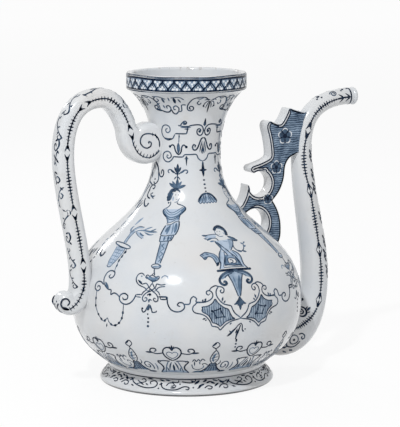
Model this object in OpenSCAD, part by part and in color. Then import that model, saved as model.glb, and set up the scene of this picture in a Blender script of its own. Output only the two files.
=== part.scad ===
// Tin-glazed earthenware coffee pot: a thrown body on a foot ring, a scrolled handle, a swan-neck spout
// and a pierced bridge between body and spout.
// Origin at the centre of the foot's resting face, +Z up, +X towards the spout, -Y the shown side.

/* [Foot] */
// Outer radius of the foot ring
foot_r = 73.5; // [70:0.5:84]
// Height of the foot ring
foot_h = 13.5; // [11:0.5:16]
// Height of the rounded outer edge of the foot
foot_edge_h = 5; // [3:0.5:7]
// Radius of the recess under the pot
foot_recess_r = 55; // [40:1:59]

/* [Body] */
// Height from the table to the rim
pot_h = 260; // [245:1:285]
// Greatest radius of the belly
belly_r = 97; // [90:0.5:107]
// Height of the greatest belly radius
belly_z = 69; // [62:1:76]
// Radius of the bead where the bowl sits on the foot
bead_r = 67.5; // [66:0.5:69]
// Height of the bead above the foot
bead_h = 3.5; // [2.5:0.5:5]
// How far the bowl is undercut below the bead, where it meets the foot
bead_undercut = 3; // [2:0.5:5]
// Wall thickness of the body
wall = 5; // [4:0.5:7]
// Thickness of the floor
floor_t = 6.5; // [5:0.5:9]
// Roundness of the bowl just below the belly
bowl_pull = 31; // [24:1:36]
// Roundness of the shoulder just above the belly
belly_pull = 59.5; // [50:1:66]
// Length over which the neck sweeps into the shoulder
shoulder_pull = 62; // [54:1:70]

/* [Neck and mouth] */
// Radius of the neck at its narrowest
neck_r = 28.5; // [26:0.5:32]
// Distance from the rim down to the narrowest neck
neck_drop = 69; // [62:1:74]
// Length over which the neck stays slim before it flares
neck_pull = 28; // [22:1:34]
// Outer radius of the mouth collar
rim_r = 50; // [46:0.5:55]
// Height of the mouth collar
collar_h = 13.5; // [10:0.5:17]
// Wall thickness of the mouth collar
collar_wall = 5; // [4:0.5:7]
// Radius of the rounded rim edge
rim_round = 1.8; // [1:0.2:2.2]

/* [Handle] */
// Thickness of the handle in the plane of the pot
handle_w = 16; // [13:0.5:17]
// Breadth of the handle across the pot
handle_t = 16.5; // [14:0.5:19]
// Corner radius of the handle's section
handle_round = 4.5; // [3:0.5:6]
// How far the handle's centre line stands beyond the belly
handle_reach = 16.5; // [12:0.5:24]
// Distance from the rim down to the centre line at the top of the arch
handle_drop = 18; // [14:1:24]
// Distance of the arch's highest point from the pot's axis
handle_top_x = 80.5; // [77:0.5:86]
// Height of the upper scroll's centre above the narrowest neck
upper_scroll_rise = 14; // [10:1:18]
// Distance of the upper scroll's centre from the surface of the neck
upper_scroll_out = 9.5; // [8:0.5:11]
// Outer radius of the upper scroll as it begins to curl
upper_scroll_r = 22; // [19:0.5:23]
// Outer radius at the end of the upper curl
upper_eye_r = 14; // [12:0.5:15]
// Height of the lower scroll's centre above the belly's greatest radius
lower_scroll_rise = 7.5; // [4:0.5:12]
// Distance of the lower scroll's centre from the belly
lower_scroll_out = 15; // [13.5:0.5:17]
// Outer radius of the lower scroll as it begins to curl
lower_scroll_r = 12; // [11:0.5:14]
// Outer radius at the end of the lower curl
lower_eye_r = 7.5; // [6.5:0.5:8.5]

/* [Spout] */
// Height of the spout's root on the bowl
root_z = 33; // [29:1:37]
// Half height of the spout's root
root_half_h = 21; // [18:0.5:23]
// Half breadth of the spout's root
root_half_w = 15; // [13:0.5:17]
// How far the elbow stands beyond the belly, to its centre line
elbow_out = 29; // [26:0.5:34]
// Radius of the tube just above the elbow
elbow_r = 12; // [11:0.5:14]
// How far the slimmest part of the spout stands beyond the belly
waist_out = 15; // [12:0.5:18]
// Radius of the tube at its waist
waist_r = 8.9; // [8.3:0.2:10.5]
// Distance of the spout's tip beyond the belly
tip_out = 68.5; // [62:0.5:78]
// Distance from the rim down to the centre line of the tip
tip_drop = 27.5; // [22:0.5:36]
// Radius of the tube where the lip begins
tip_r = 7; // [6.2:0.2:8]
// Radius of the lip's bead
lip_r = 7.7; // [7.3:0.2:9]
// Length of the lip
lip_l = 4.5; // [3:0.5:6]
// Wall thickness of the spout at its root
root_wall = 4.5; // [3.5:0.5:6]
// Wall thickness of the spout at its tip
tip_wall = 2.6; // [2:0.2:3.4]
// Diameter of the pouring holes behind the spout
strain_d = 4.5; // [3:0.5:6]
// Distance of the outer pouring holes from the middle one
strain_ring_r = 7.2; // [6:0.2:8]

/* [Bridge] */
// Thickness of the bridge
bridge_t = 12.5; // [10:0.5:15]
// Radius of the open arch over the shoulder
arch_r = 13.2; // [11:0.2:14]
// Radius of the open C in the middle of the bridge
cut_r = 11; // [10:0.2:11.6]
// Height of the C's centre below the narrowest neck
cut_drop = 29; // [27:0.5:31]
// Length of one step in the bridge's outline
bridge_step = 1; // [0.95:0.01:1.05]

/* [Hidden] */
$fn = 96;

glaze = "#e8ebee";
blue_ground = "#6d89ae";
blue_lattice = "#93a9c6";

// Gap left for the slip that joins one curved piece to another
slip = 0.15;
// Greatest share by which the wall thickens where it slants
slant_max = 1.4;
// Where the thrown neck is set on the shoulder, along the curve from neck to belly
seam_t = 0.15;
// How the curves leave their ends: lengths and offsets of the control points
bowl_root_pull = [14, 11];
flare_pull = [12.6, 7.3];
arch_pull = 12;
bend_top_pull = 21;
bend_side_pull = 30;
grip_top_pull = 36;
grip_foot_pull = 30;
root_pull = [19, -12];
elbow_pull = [0.5, -36];
rise_pull = 34;
waist_pull = 33;
curl_pull = 28;
tip_pull = 37;
// Where the handle's strap ends on each scroll, from the scroll's centre, and which way it runs there
upper_join_at = [-17.8, 10.7];
upper_lead = [0.28, -0.96];
lower_join_at = [12, 7];
lower_lead = [-0.15, -0.99];
// Height of the handle's outermost point above the narrowest neck
grip_rise = 5;
// Height of the elbow's top above the belly, and of the spout's waist below the narrowest neck
elbow_rise = 7;
waist_drop = 3;
// How fast the strap's width fades into each curl
upper_fade = 12;
lower_fade = 5;
scroll_steps = 36;
// Share of the root's half height that its seat on the bowl takes up
root_seat = 0.87;
// Distance from the spout's waist back to the middle of the bridge's open C
cut_back = 44.5;
outline_steps = 14;
neck_steps = 5;
ring_points = 24;

neck_z = pot_h - neck_drop;
collar_z = pot_h - collar_h;
floor_z = foot_h + floor_t;
bead_z = foot_h + bead_h;
groove_r = bead_r - bead_undercut;

// Cubic curves in the (radius, height) or (x, z) plane
function bez(c, t) =
    pow(1 - t, 3) * c[0] + 3 * pow(1 - t, 2) * t * c[1] + 3 * (1 - t) * t * t * c[2] + pow(t, 3) * c[3];
function bez_dir(c, t) =
    let (d = pow(1 - t, 2) * (c[1] - c[0]) + 2 * (1 - t) * t * (c[2] - c[1]) + t * t * (c[3] - c[2]))
    d / norm(d);
function curve(c, t0, t1, steps) = [for (i = [0 : steps]) bez(c, t0 + (t1 - t0) * i / steps)];
function mix(a, b, t) = a + (b - a) * t;
function ease(t) = t * t * (3 - 2 * t);
function reversed(list) = [for (i = [len(list) - 1 : -1 : 0]) list[i]];

// Profile of the body, from the bead on the foot up to the collar
bowl_curve = [
    [bead_r, bead_z], [bead_r, bead_z] + bowl_root_pull, [belly_r, belly_z - bowl_pull], [belly_r, belly_z]
];
shoulder_curve = [
    [neck_r, neck_z], [neck_r, neck_z - shoulder_pull], [belly_r, belly_z + belly_pull], [belly_r, belly_z]
];
flare_curve = [
    [neck_r, neck_z], [neck_r, neck_z + neck_pull], [rim_r, collar_z] - flare_pull, [rim_r, collar_z]
];

bowl_skin = curve(bowl_curve, 0, 1, outline_steps);
shoulder_skin = curve(shoulder_curve, 1, seam_t, outline_steps);
neck_skin = concat(
    curve(shoulder_curve, seam_t, 0, neck_steps),
    [for (p = curve(flare_curve, 0, 1, outline_steps)) if (p[1] > neck_z) p]
);

// Radius of the body's outer surface at a height
skin_table = [for (p = concat(bowl_skin, shoulder_skin, neck_skin)) [p[1], p[0]]];
function skin_r(z) = lookup(z, skin_table);

// Inner surface, one wall behind the outer one and a little thicker where the wall slants
function inner_wall(c, t0, t1, steps, thick) = [
    for (i = [0 : steps])
        let (t = t0 + (t1 - t0) * i / steps, d = bez_dir(c, t), p = bez(c, t))
        [p[0] - thick * min(slant_max, 1 / max(abs(d[1]), 0.01)), p[1]]
];
bowl_inside = inner_wall(bowl_curve, 0, 1, outline_steps, wall);
shoulder_inside = inner_wall(shoulder_curve, 1, seam_t, outline_steps, wall);
neck_inside = concat(
    inner_wall(shoulder_curve, seam_t, 0, neck_steps, wall),
    [for (p = inner_wall(flare_curve, 0, 1, outline_steps, wall)) if (p[1] > neck_z) p]
);

// Skin between rings of points, as triangles
function skin_faces(rings, m, from, flip) = [
    for (i = [0 : rings - 2], j = [0 : m - 1], half = [0, 1])
        let (
            a = from + i * m + j,
            b = from + i * m + (j + 1) % m,
            c = a + m,
            d = b + m,
            tri = half == 0 ? [a, b, d] : [a, d, c]
        )
        flip ? reversed(tri) : tri
];
function all_points(rings) = [for (r = rings, p = r) p];

module solid_loft(rings) {
    m = len(rings[0]);
    n = len(rings);
    cap = [for (j = [0 : m - 1]) j];
    polyhedron(
        all_points(rings),
        concat(skin_faces(n, m, 0, false), [reversed(cap), [for (j = cap) (n - 1) * m + j]]),
        convexity = 8
    );
}

module tube_loft(outer, inner) {
    m = len(outer[0]);
    n = len(outer);
    hole = n * m;
    last = (n - 1) * m;
    end_faces = [
        for (j = [0 : m - 1], half = [0, 1])
            let (k = (j + 1) % m)
            half == 0 ? [hole + j, hole + k, k] : [hole + j, k, j]
    ];
    far_faces = [for (f = end_faces) [f[2] + last, f[1] + last, f[0] + last]];
    polyhedron(
        concat(all_points(outer), all_points(inner)),
        concat(skin_faces(n, m, 0, false), skin_faces(n, m, hole, true), end_faces, far_faces),
        convexity = 8
    );
}

// A point of a section that lies across a path in the plane of the handle and spout
function across(c, t, side, y) =
    let (p = bez(c, t), d = bez_dir(c, t))
    [p[0] - d[1] * side, y, p[1] + d[0] * side];

// A point held outside the body, so that a luted piece ends on its surface
function seated(p) =
    let (r = skin_r(p[2]) + slip)
    norm([p[0], p[1]]) >= r ? p : [sign(p[0]) * sqrt(r * r - p[1] * p[1]), p[1], p[2]];

// Handle: centre lines of the arch and the grip
neck_side = -skin_r(neck_z + upper_scroll_rise);
upper_eye = [neck_side - upper_scroll_out, neck_z + upper_scroll_rise];
lower_eye = [-belly_r - lower_scroll_out, belly_z + lower_scroll_rise];
arch_top = [-handle_top_x, pot_h - handle_drop];
grip_out = [-belly_r - handle_reach, neck_z + grip_rise];
upper_join = upper_eye + upper_join_at;
lower_join = lower_eye + lower_join_at;
arch_curve = [upper_join, upper_join - arch_pull * upper_lead, arch_top + [arch_pull, 0], arch_top];
bend_curve = [arch_top, arch_top - [bend_top_pull, 0], grip_out + [0, bend_side_pull], grip_out];
grip_curve = [grip_out, grip_out - [0, grip_top_pull], lower_join - grip_foot_pull * lower_lead, lower_join];

// Rounded section of the handle: offsets across the path, breadth by breadth
corner_steps = 3;
function corner_inset(y) =
    let (over = max(0, abs(y) - (handle_t / 2 - handle_round)))
    handle_round - sqrt(max(0, handle_round * handle_round - over * over));
layer_y = concat(
    [for (i = [0 : corner_steps]) handle_round * (1 - cos(90 * i / corner_steps)) - handle_t / 2],
    [0],
    [for (i = [corner_steps : -1 : 0]) handle_t / 2 - handle_round * (1 - cos(90 * i / corner_steps))]
);
function handle_ring(c, t) = [
    for (p = concat(
        [for (y = layer_y) [handle_w / 2 - corner_inset(y), y]],
        [for (y = reversed(layer_y)) [corner_inset(y) - handle_w / 2, y]]
    )) seated(across(c, t, p[0], p[1]))
];

// Scroll outline in the (x, z) plane: a steady spiral that starts at the outer edge of the handle.
// turn is 1 for a curl that runs anticlockwise as seen from the front and -1 for the other way.
function polar(v) = [norm(v), atan2(v[1], v[0])];
function scroll_outline(eye, join, lead, turn, curl_r, eye_r, fade, inset, steps) =
    let (
        out = turn * [lead[1], -lead[0]],
        first = polar(join + (handle_w / 2 - inset) * out - eye),
        last = polar(join - (handle_w / 2 - inset) * out - eye),
        sweep = 360 - (turn * (first[1] - last[1]) + 720) % 360
    )
    concat(
        [
            for (i = [0 : steps])
                let (
                    s = 1 - i / steps,
                    end_r = eye_r - inset,
                    begin_r = curl_r - inset,
                    r = end_r + (begin_r - end_r) * s + (first[0] - begin_r) * pow(s, fade),
                    a = first[1] + turn * sweep * (1 - s)
                )
                eye + r * [cos(a), sin(a)]
        ],
        [join - (handle_w / 2 - inset) * out]
    );
function scroll_rings(eye, join, lead, turn, curl_r, eye_r, fade) = [
    for (y = layer_y) [
        for (p = scroll_outline(eye, join, lead, turn, curl_r, eye_r, fade, corner_inset(y), scroll_steps))
            seated([p[0], y, p[1]])
    ]
];

// Spout: centre lines of the elbow, the rising tube and the curled tip
elbow_top = [belly_r + elbow_out, belly_z + elbow_rise];
spout_waist = [belly_r + waist_out, neck_z - waist_drop];
spout_tip = [belly_r + tip_out - lip_l, pot_h - tip_drop];
root_mid = [skin_r(root_z), root_z];
root_curve = [root_mid, root_mid + root_pull, elbow_top + elbow_pull, elbow_top];
rise_curve = [elbow_top, elbow_top + [0, rise_pull], spout_waist - [0, waist_pull], spout_waist];
tip_curve = [spout_waist, spout_waist + [0, curl_pull], spout_tip - [tip_pull, 0], spout_tip];

// Half sizes of the spout's section along each curve: in the plane of the pot and across it
function root_size(t) = [mix(root_half_h, elbow_r, ease(t)), mix(root_half_w, elbow_r, ease(t))];
function rise_size(t) = let (r = mix(elbow_r, waist_r, t)) [r, r];
function tip_size(t) = let (r = mix(waist_r, tip_r, t)) [r, r];
root_bore_end = mix(root_wall, tip_wall, 0.3);
waist_bore_wall = mix(root_wall, tip_wall, 0.7);
function spout_ring(c, t, size, less) = [
    for (j = [0 : ring_points - 1])
        let (a = 360 * j / ring_points)
        across(c, t, (size[0] - less) * cos(a), (size[1] - less) * sin(a))
];

// The root's own ring lies on the bowl: each point is carried back along the spout until it meets the wall
function root_ring(less) = [
    for (j = [0 : ring_points - 1])
        let (
            a = 360 * j / ring_points,
            z = root_z + root_seat * (root_half_h - less) * cos(a),
            y = (root_half_w - less) * sin(a),
            r = skin_r(z) + slip
        )
        [sqrt(r * r - y * y), y, z]
];
root_steps = 12;
rise_steps = 10;
tip_steps = 14;
function root_rings(less0, less1) = concat(
    [root_ring(less0)],
    [
        for (i = [1 : root_steps])
            let (t = i / root_steps)
            spout_ring(root_curve, t, root_size(t), mix(less0, less1, t))
    ]
);
function tube_rings(less0, less1, less2) = concat(
    [
        for (i = [0 : rise_steps])
            let (t = i / rise_steps)
            spout_ring(rise_curve, t, rise_size(t), mix(less0, less1, t))
    ],
    [
        for (i = [1 : tip_steps])
            let (t = i / tip_steps)
            spout_ring(tip_curve, t, tip_size(t), mix(less1, less2, t))
    ]
);

// Solid of everything inside the body's outer surface
module body_core() {
    rotate_extrude()
        polygon(concat([[0, bead_z]], bowl_skin, shoulder_skin, neck_skin, [[0, collar_z]]));
}

// Solid of everything inside the spout's outer surface
module spout_core() {
    solid_loft(tube_rings(-slip, -slip, -slip));
}

module foot_ring() {
    color(glaze)
        rotate_extrude()
            union() {
                polygon([
                    [foot_recess_r, 0],
                    [foot_r - foot_edge_h / 2, 0],
                    [foot_r - foot_edge_h / 2, foot_edge_h],
                    [groove_r, foot_h],
                    [foot_recess_r, foot_h]
                ]);
                translate([foot_r - foot_edge_h / 2, foot_edge_h / 2])
                    circle(d = foot_edge_h);
            }
}

module lower_bowl() {
    color(glaze)
        difference() {
            rotate_extrude()
                polygon(concat(
                    [[0, foot_h], [groove_r, foot_h], [groove_r + 2, foot_h + 1]],
                    bowl_skin,
                    reversed([for (p = bowl_inside) if (p[1] > floor_z + 3) p]),
                    [[bead_r - wall, floor_z], [0, floor_z]]
                ));
            strainer();
        }
}

// One pouring hole in the middle of the spout's root and six round it
module strainer() {
    translate([0, 0, root_z])
        rotate([0, 90, 0]) {
            cylinder(d = strain_d, h = belly_r);
            for (i = [0 : 5])
                rotate(60 * i)
                    translate([strain_ring_r, 0, 0])
                        cylinder(d = strain_d, h = belly_r);
        }
}

module shoulder() {
    color(glaze)
        rotate_extrude()
            polygon(concat(shoulder_skin, reversed(shoulder_inside)));
}

module neck() {
    color(glaze)
        rotate_extrude()
            polygon(concat(neck_skin, reversed(neck_inside)));
}

module mouth_collar() {
    color(blue_lattice)
        rotate_extrude()
            union() {
                translate([rim_r - collar_wall, collar_z])
                    square([collar_wall, collar_h - rim_round]);
                translate([rim_r - collar_wall + rim_round, collar_z])
                    square([collar_wall - 2 * rim_round, collar_h]);
                for (r = [rim_r - rim_round, rim_r - collar_wall + rim_round])
                    translate([r, pot_h - rim_round])
                        circle(r = rim_round);
            }
}

module handle_grip() {
    color(glaze)
        solid_loft(concat(
            [for (i = [0 : 8]) handle_ring(arch_curve, i / 8)],
            [for (i = [1 : 12]) handle_ring(bend_curve, i / 12)],
            [for (i = [1 : 16]) handle_ring(grip_curve, i / 16)]
        ));
}

module handle_upper_scroll() {
    color(glaze)
        solid_loft(scroll_rings(
            upper_eye, upper_join, upper_lead, 1, upper_scroll_r, upper_eye_r, upper_fade
        ));
}

module handle_lower_scroll() {
    color(glaze)
        solid_loft(scroll_rings(
            lower_eye, lower_join, lower_lead, -1, lower_scroll_r, lower_eye_r, lower_fade
        ));
}

module spout_elbow() {
    color(glaze)
        tube_loft(root_rings(0, 0), root_rings(root_wall, root_bore_end));
}

module spout_tube() {
    color(glaze)
        tube_loft(tube_rings(0, 0, 0), tube_rings(root_bore_end, waist_bore_wall, tip_wall));
}

module spout_lip() {
    color(glaze)
        translate([spout_tip[0], 0, spout_tip[1]])
            rotate([0, 90, 0])
                rotate_extrude()
                    union() {
                        translate([tip_r - tip_wall, 0])
                            square([tip_wall, lip_l]);
                        intersection() {
                            translate([lip_r - lip_l / 2, lip_l / 2])
                                circle(d = lip_l);
                            translate([tip_r - tip_wall, 0])
                                square([lip_r, lip_l]);
                        }
                    }
}

// An edge that bows sideways by a given height between two points
function bow(p, q, rise, steps) = [
    for (i = [0 : steps - 1])
        let (t = i / steps, d = q - p)
        p + t * d + 4 * t * (1 - t) * rise * bridge_step * [-d[1], d[0]] / norm(d)
];

// Places on the bridge are measured in steps from the middle of its open C
cut_mid = [spout_waist[0] - cut_back, neck_z - cut_drop];
function on_bridge(x, z) = cut_mid + bridge_step * [x, z];
bridge_outline = concat(
    [spout_waist + bridge_step * [9, 36]],
    bow(on_bridge(40.4, 59), on_bridge(28.5, 64), 0.8, 3),
    bow(on_bridge(28.5, 64), on_bridge(20.5, 50), 0.8, 4),
    bow(on_bridge(20.5, 50), on_bridge(10, 54), 1, 4),
    bow(on_bridge(10, 54), on_bridge(6.4, 47), -1.5, 4),
    bow(on_bridge(6.4, 47), on_bridge(11, 22), 1, 5),
    bow(on_bridge(11, 22), on_bridge(-8.5, 15.8), 0.8, 4),
    bow(on_bridge(-8.5, 15.8), on_bridge(-6.5, 9.3), -2, 4),
    [on_bridge(-6.5, 9.3), on_bridge(6, 11.5), on_bridge(5, -4), on_bridge(-5, -7)],
    bow(on_bridge(-10, -1.5), on_bridge(-19, -18.5), 2, 5),
    [[0, belly_z], on_bridge(19.5, -93)],
    bow(on_bridge(19.5, -59), on_bridge(12.5, -15), -4.5, 8),
    bow(on_bridge(12.5, -15), on_bridge(24.5, 10), -3, 6),
    bow(on_bridge(24, 10), on_bridge(32, 22.5), 2, 5),
    [spout_waist]
);

module bridge_bracket() {
    color(blue_ground)
        difference() {
            rotate([90, 0, 0])
                linear_extrude(bridge_t, center = true)
                    difference() {
                        polygon(bridge_outline);
                        translate(cut_mid)
                            circle(cut_r);
                        translate(on_bridge(-4.6, -34))
                            circle(arch_r);
                    }
            body_core();
            spout_core();
        }
}

foot_ring();
lower_bowl();
shoulder();
neck();
mouth_collar();
handle_grip();
handle_upper_scroll();
handle_lower_scroll();
spout_elbow();
spout_tube();
spout_lip();
bridge_bracket();
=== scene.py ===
"""Tin-glazed coffee pot with cobalt brushwork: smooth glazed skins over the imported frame."""

import bisect
import logging
import math
from dataclasses import dataclass, field
from enum import Enum
from functools import partial
from itertools import groupby
from typing import Callable, Sequence

import bmesh
import bpy
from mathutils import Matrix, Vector
from mathutils.geometry import intersect_line_line_2d, intersect_point_line


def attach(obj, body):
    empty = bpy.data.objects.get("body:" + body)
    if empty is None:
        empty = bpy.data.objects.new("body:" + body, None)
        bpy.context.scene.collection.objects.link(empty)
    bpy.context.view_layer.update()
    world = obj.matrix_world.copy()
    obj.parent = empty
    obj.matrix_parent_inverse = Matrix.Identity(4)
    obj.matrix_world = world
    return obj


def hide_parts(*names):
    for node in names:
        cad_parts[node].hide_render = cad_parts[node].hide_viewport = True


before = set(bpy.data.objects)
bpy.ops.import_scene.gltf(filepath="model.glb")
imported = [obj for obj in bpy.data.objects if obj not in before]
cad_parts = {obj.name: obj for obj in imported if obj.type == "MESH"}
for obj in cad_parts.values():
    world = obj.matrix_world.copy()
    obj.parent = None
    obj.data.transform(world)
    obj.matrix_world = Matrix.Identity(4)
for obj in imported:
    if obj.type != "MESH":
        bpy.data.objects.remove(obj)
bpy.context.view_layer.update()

LOG = logging.getLogger("coffee_pot")
MM = 0.001

Pair = tuple[float, float]
Path = Sequence[Pair]
Ring = list[Vector]
Colour = tuple[float, float, float]
Object = bpy.types.Object
Material = bpy.types.Material
Socket = bpy.types.NodeSocket


def mix(a: float, b: float, t: float) -> float:
    """Blend two numbers."""
    return a + (b - a) * t


def part_way(p: Pair, q: Pair, t: float) -> Pair:
    """Place at a share of the way from one place to another."""
    return (mix(p[0], q[0], t), mix(p[1], q[1], t))


def polar(middle: Pair, radius: float, angle: float) -> Pair:
    """Place at a distance and an angle, in degrees, from another."""
    a = math.radians(angle)
    return (middle[0] + radius * math.cos(a), middle[1] + radius * math.sin(a))


def ease(t: float) -> float:
    """Smooth step from 0 to 1."""
    return t * t * (3.0 - 2.0 * t)


@dataclass(frozen=True)
class Bezier:
    """One cubic curve in a plane, in millimetres."""

    a: Pair
    b: Pair
    c: Pair
    d: Pair

    def at(self, t: float) -> Vector:
        """Point at a share of the curve.

        Args:
            t: Share of the curve, from 0 to 1.

        Returns:
            The point, in millimetres.
        """
        s = 1.0 - t
        weights = (s ** 3, 3 * s * s * t, 3 * s * t * t, t ** 3)
        corners = (self.a, self.b, self.c, self.d)
        return Vector([sum(w * p[i] for w, p in zip(weights, corners)) for i in (0, 1)])

    def heading(self, t: float) -> Vector:
        """Unit direction at a share of the curve.

        Args:
            t: Share of the curve, from 0 to 1.

        Returns:
            The direction, of length 1.
        """
        s = 1.0 - t
        weights = (s * s, 2 * s * t, t * t)
        sides = [
            Vector(q) - Vector(p)
            for p, q in ((self.a, self.b), (self.b, self.c), (self.c, self.d))
        ]
        run = Vector((0.0, 0.0))
        for w, side in zip(weights, sides):
            run += w * side
        return run.normalized()

    def walk(self, steps: int, start: float = 0.0, stop: float = 1.0) -> list[Vector]:
        """Evenly parted points along the curve."""
        return [self.at(start + (stop - start) * i / steps) for i in range(steps + 1)]


class Bench:
    """Edit-mode steps that all pieces share."""

    SMOOTH = math.radians(38.0)

    @staticmethod
    def clear() -> None:
        """Leave edit mode and let go of everything that is selected."""
        if bpy.context.object and bpy.context.object.mode != "OBJECT":
            bpy.ops.object.mode_set(mode="OBJECT")
        bpy.ops.object.select_all(action="DESELECT")

    @classmethod
    def take(cls, piece: Object) -> None:
        """Make a piece the active one, and select nothing else.

        Args:
            piece: The object to work on.
        """
        cls.clear()
        bpy.context.view_layer.objects.active = piece
        piece.select_set(True)

    @classmethod
    def begin(cls, name: str, vertices: int) -> Object:
        """Add an open circle as the start of a piece and enter edit mode.

        Args:
            name: Name of the piece.
            vertices: Points of the circle.

        Returns:
            The new object, in edit mode with all its points selected.
        """
        cls.clear()
        bpy.ops.mesh.primitive_circle_add(vertices=vertices, radius=MM, fill_type="NOTHING")
        piece = bpy.context.object
        piece.name = name
        piece.data.name = name
        bpy.ops.object.mode_set(mode="EDIT")
        bpy.ops.mesh.select_all(action="SELECT")
        return piece

    @classmethod
    def close(cls, piece: Object, merge: float = 2e-6) -> Object:
        """Merge doubles, turn all faces outwards and shade the piece smooth.

        Args:
            piece: The object in edit mode.
            merge: Distance under which points become one.

        Returns:
            The same object, in object mode.
        """
        bpy.ops.mesh.select_all(action="SELECT")
        bpy.ops.mesh.remove_doubles(threshold=merge)
        bpy.ops.mesh.normals_make_consistent(inside=False)
        bpy.ops.object.mode_set(mode="OBJECT")
        bpy.ops.object.shade_smooth_by_angle(angle=cls.SMOOTH)
        return piece

    @classmethod
    def turned(cls, name: str, outline: Sequence[Pair], steps: int = 168) -> Object:
        """Turn an outline round the pot's axis, as on a wheel.

        Args:
            name: Name of the piece.
            outline: Radius and height of each point, in millimetres.
            steps: Parts of the full turn.

        Returns:
            The closed piece.
        """
        piece = cls.begin(name, 3)
        bpy.ops.mesh.merge(type="CENTER")
        first = outline[0]
        bpy.ops.transform.translate(value=(first[0] * MM, 0.0, first[1] * MM))
        for p, q in zip(outline, outline[1:]):
            step = ((q[0] - p[0]) * MM, 0.0, (q[1] - p[1]) * MM)
            bpy.ops.mesh.extrude_vertices_move(TRANSFORM_OT_translate={"value": step})
        bpy.ops.mesh.select_all(action="SELECT")
        bpy.ops.mesh.spin(steps=steps, angle=math.tau, center=(0, 0, 0), axis=(0, 0, 1))
        return cls.close(piece)

    @classmethod
    def lofted(cls, name: str, rings: Sequence[Ring], capped: bool) -> Object:
        """Extrude a ring from place to place.

        Args:
            name: Name of the piece.
            rings: Rings of points in millimetres, all of one length.
            capped: Close both ends with faces; otherwise the last ring joins the first.

        Returns:
            The closed piece.
        """
        piece = cls.begin(name, len(rings[0]))
        mesh = bmesh.from_edit_mesh(piece.data)
        seat = mesh.verts.layers.int.new("seat")
        for i, v in enumerate(mesh.verts):
            v[seat] = i
        cls.settle(piece, rings[0])
        if capped:
            bpy.ops.mesh.edge_face_add()
            bpy.ops.mesh.select_all(action="SELECT")
        for ring in list(rings[1:]) + ([] if capped else [rings[0]]):
            if capped:
                bpy.ops.mesh.extrude_region_move()
            else:
                bpy.ops.mesh.extrude_edges_move()
            cls.settle(piece, ring)
        return cls.close(piece)

    @staticmethod
    def settle(piece: Object, ring: Ring) -> None:
        """Move the selected ring to its place.

        Args:
            piece: The object in edit mode.
            ring: Places of the ring's points, in millimetres.
        """
        mesh = bmesh.from_edit_mesh(piece.data)
        seat = mesh.verts.layers.int["seat"]
        for v in mesh.verts:
            if v.select:
                v.co = ring[v[seat]] * MM
        bmesh.update_edit_mesh(piece.data)

    @classmethod
    def cut(cls, piece: Object, cutters: Sequence[Object]) -> None:
        """Cut tools out of a piece and throw the tools away.

        Args:
            piece: The object to cut.
            cutters: Closed objects that are taken away from it.
        """
        for tool in cutters:
            cls.take(piece)
            cutting = piece.modifiers.new("cut", "BOOLEAN")
            cutting.operation = "DIFFERENCE"
            cutting.solver = "EXACT"
            cutting.object = tool
            bpy.ops.object.modifier_apply(modifier=cutting.name)
            data = tool.data
            bpy.data.objects.remove(tool)
            bpy.data.meshes.remove(data)

    @classmethod
    def peg(cls, radius: float, depth: float, at: Vector, turn: Sequence[float]) -> Object:
        """A round cutting tool, in millimetres.

        Args:
            radius: Radius of the tool.
            depth: Its length.
            at: Its middle.
            turn: Its rotation about X, Y and Z, in radians.

        Returns:
            The tool.
        """
        cls.clear()
        bpy.ops.mesh.primitive_cylinder_add(
            vertices=48, radius=radius * MM, depth=depth * MM, location=at * MM, rotation=turn
        )
        bpy.ops.object.transform_apply(location=True, rotation=True, scale=True)
        return bpy.context.object


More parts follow.
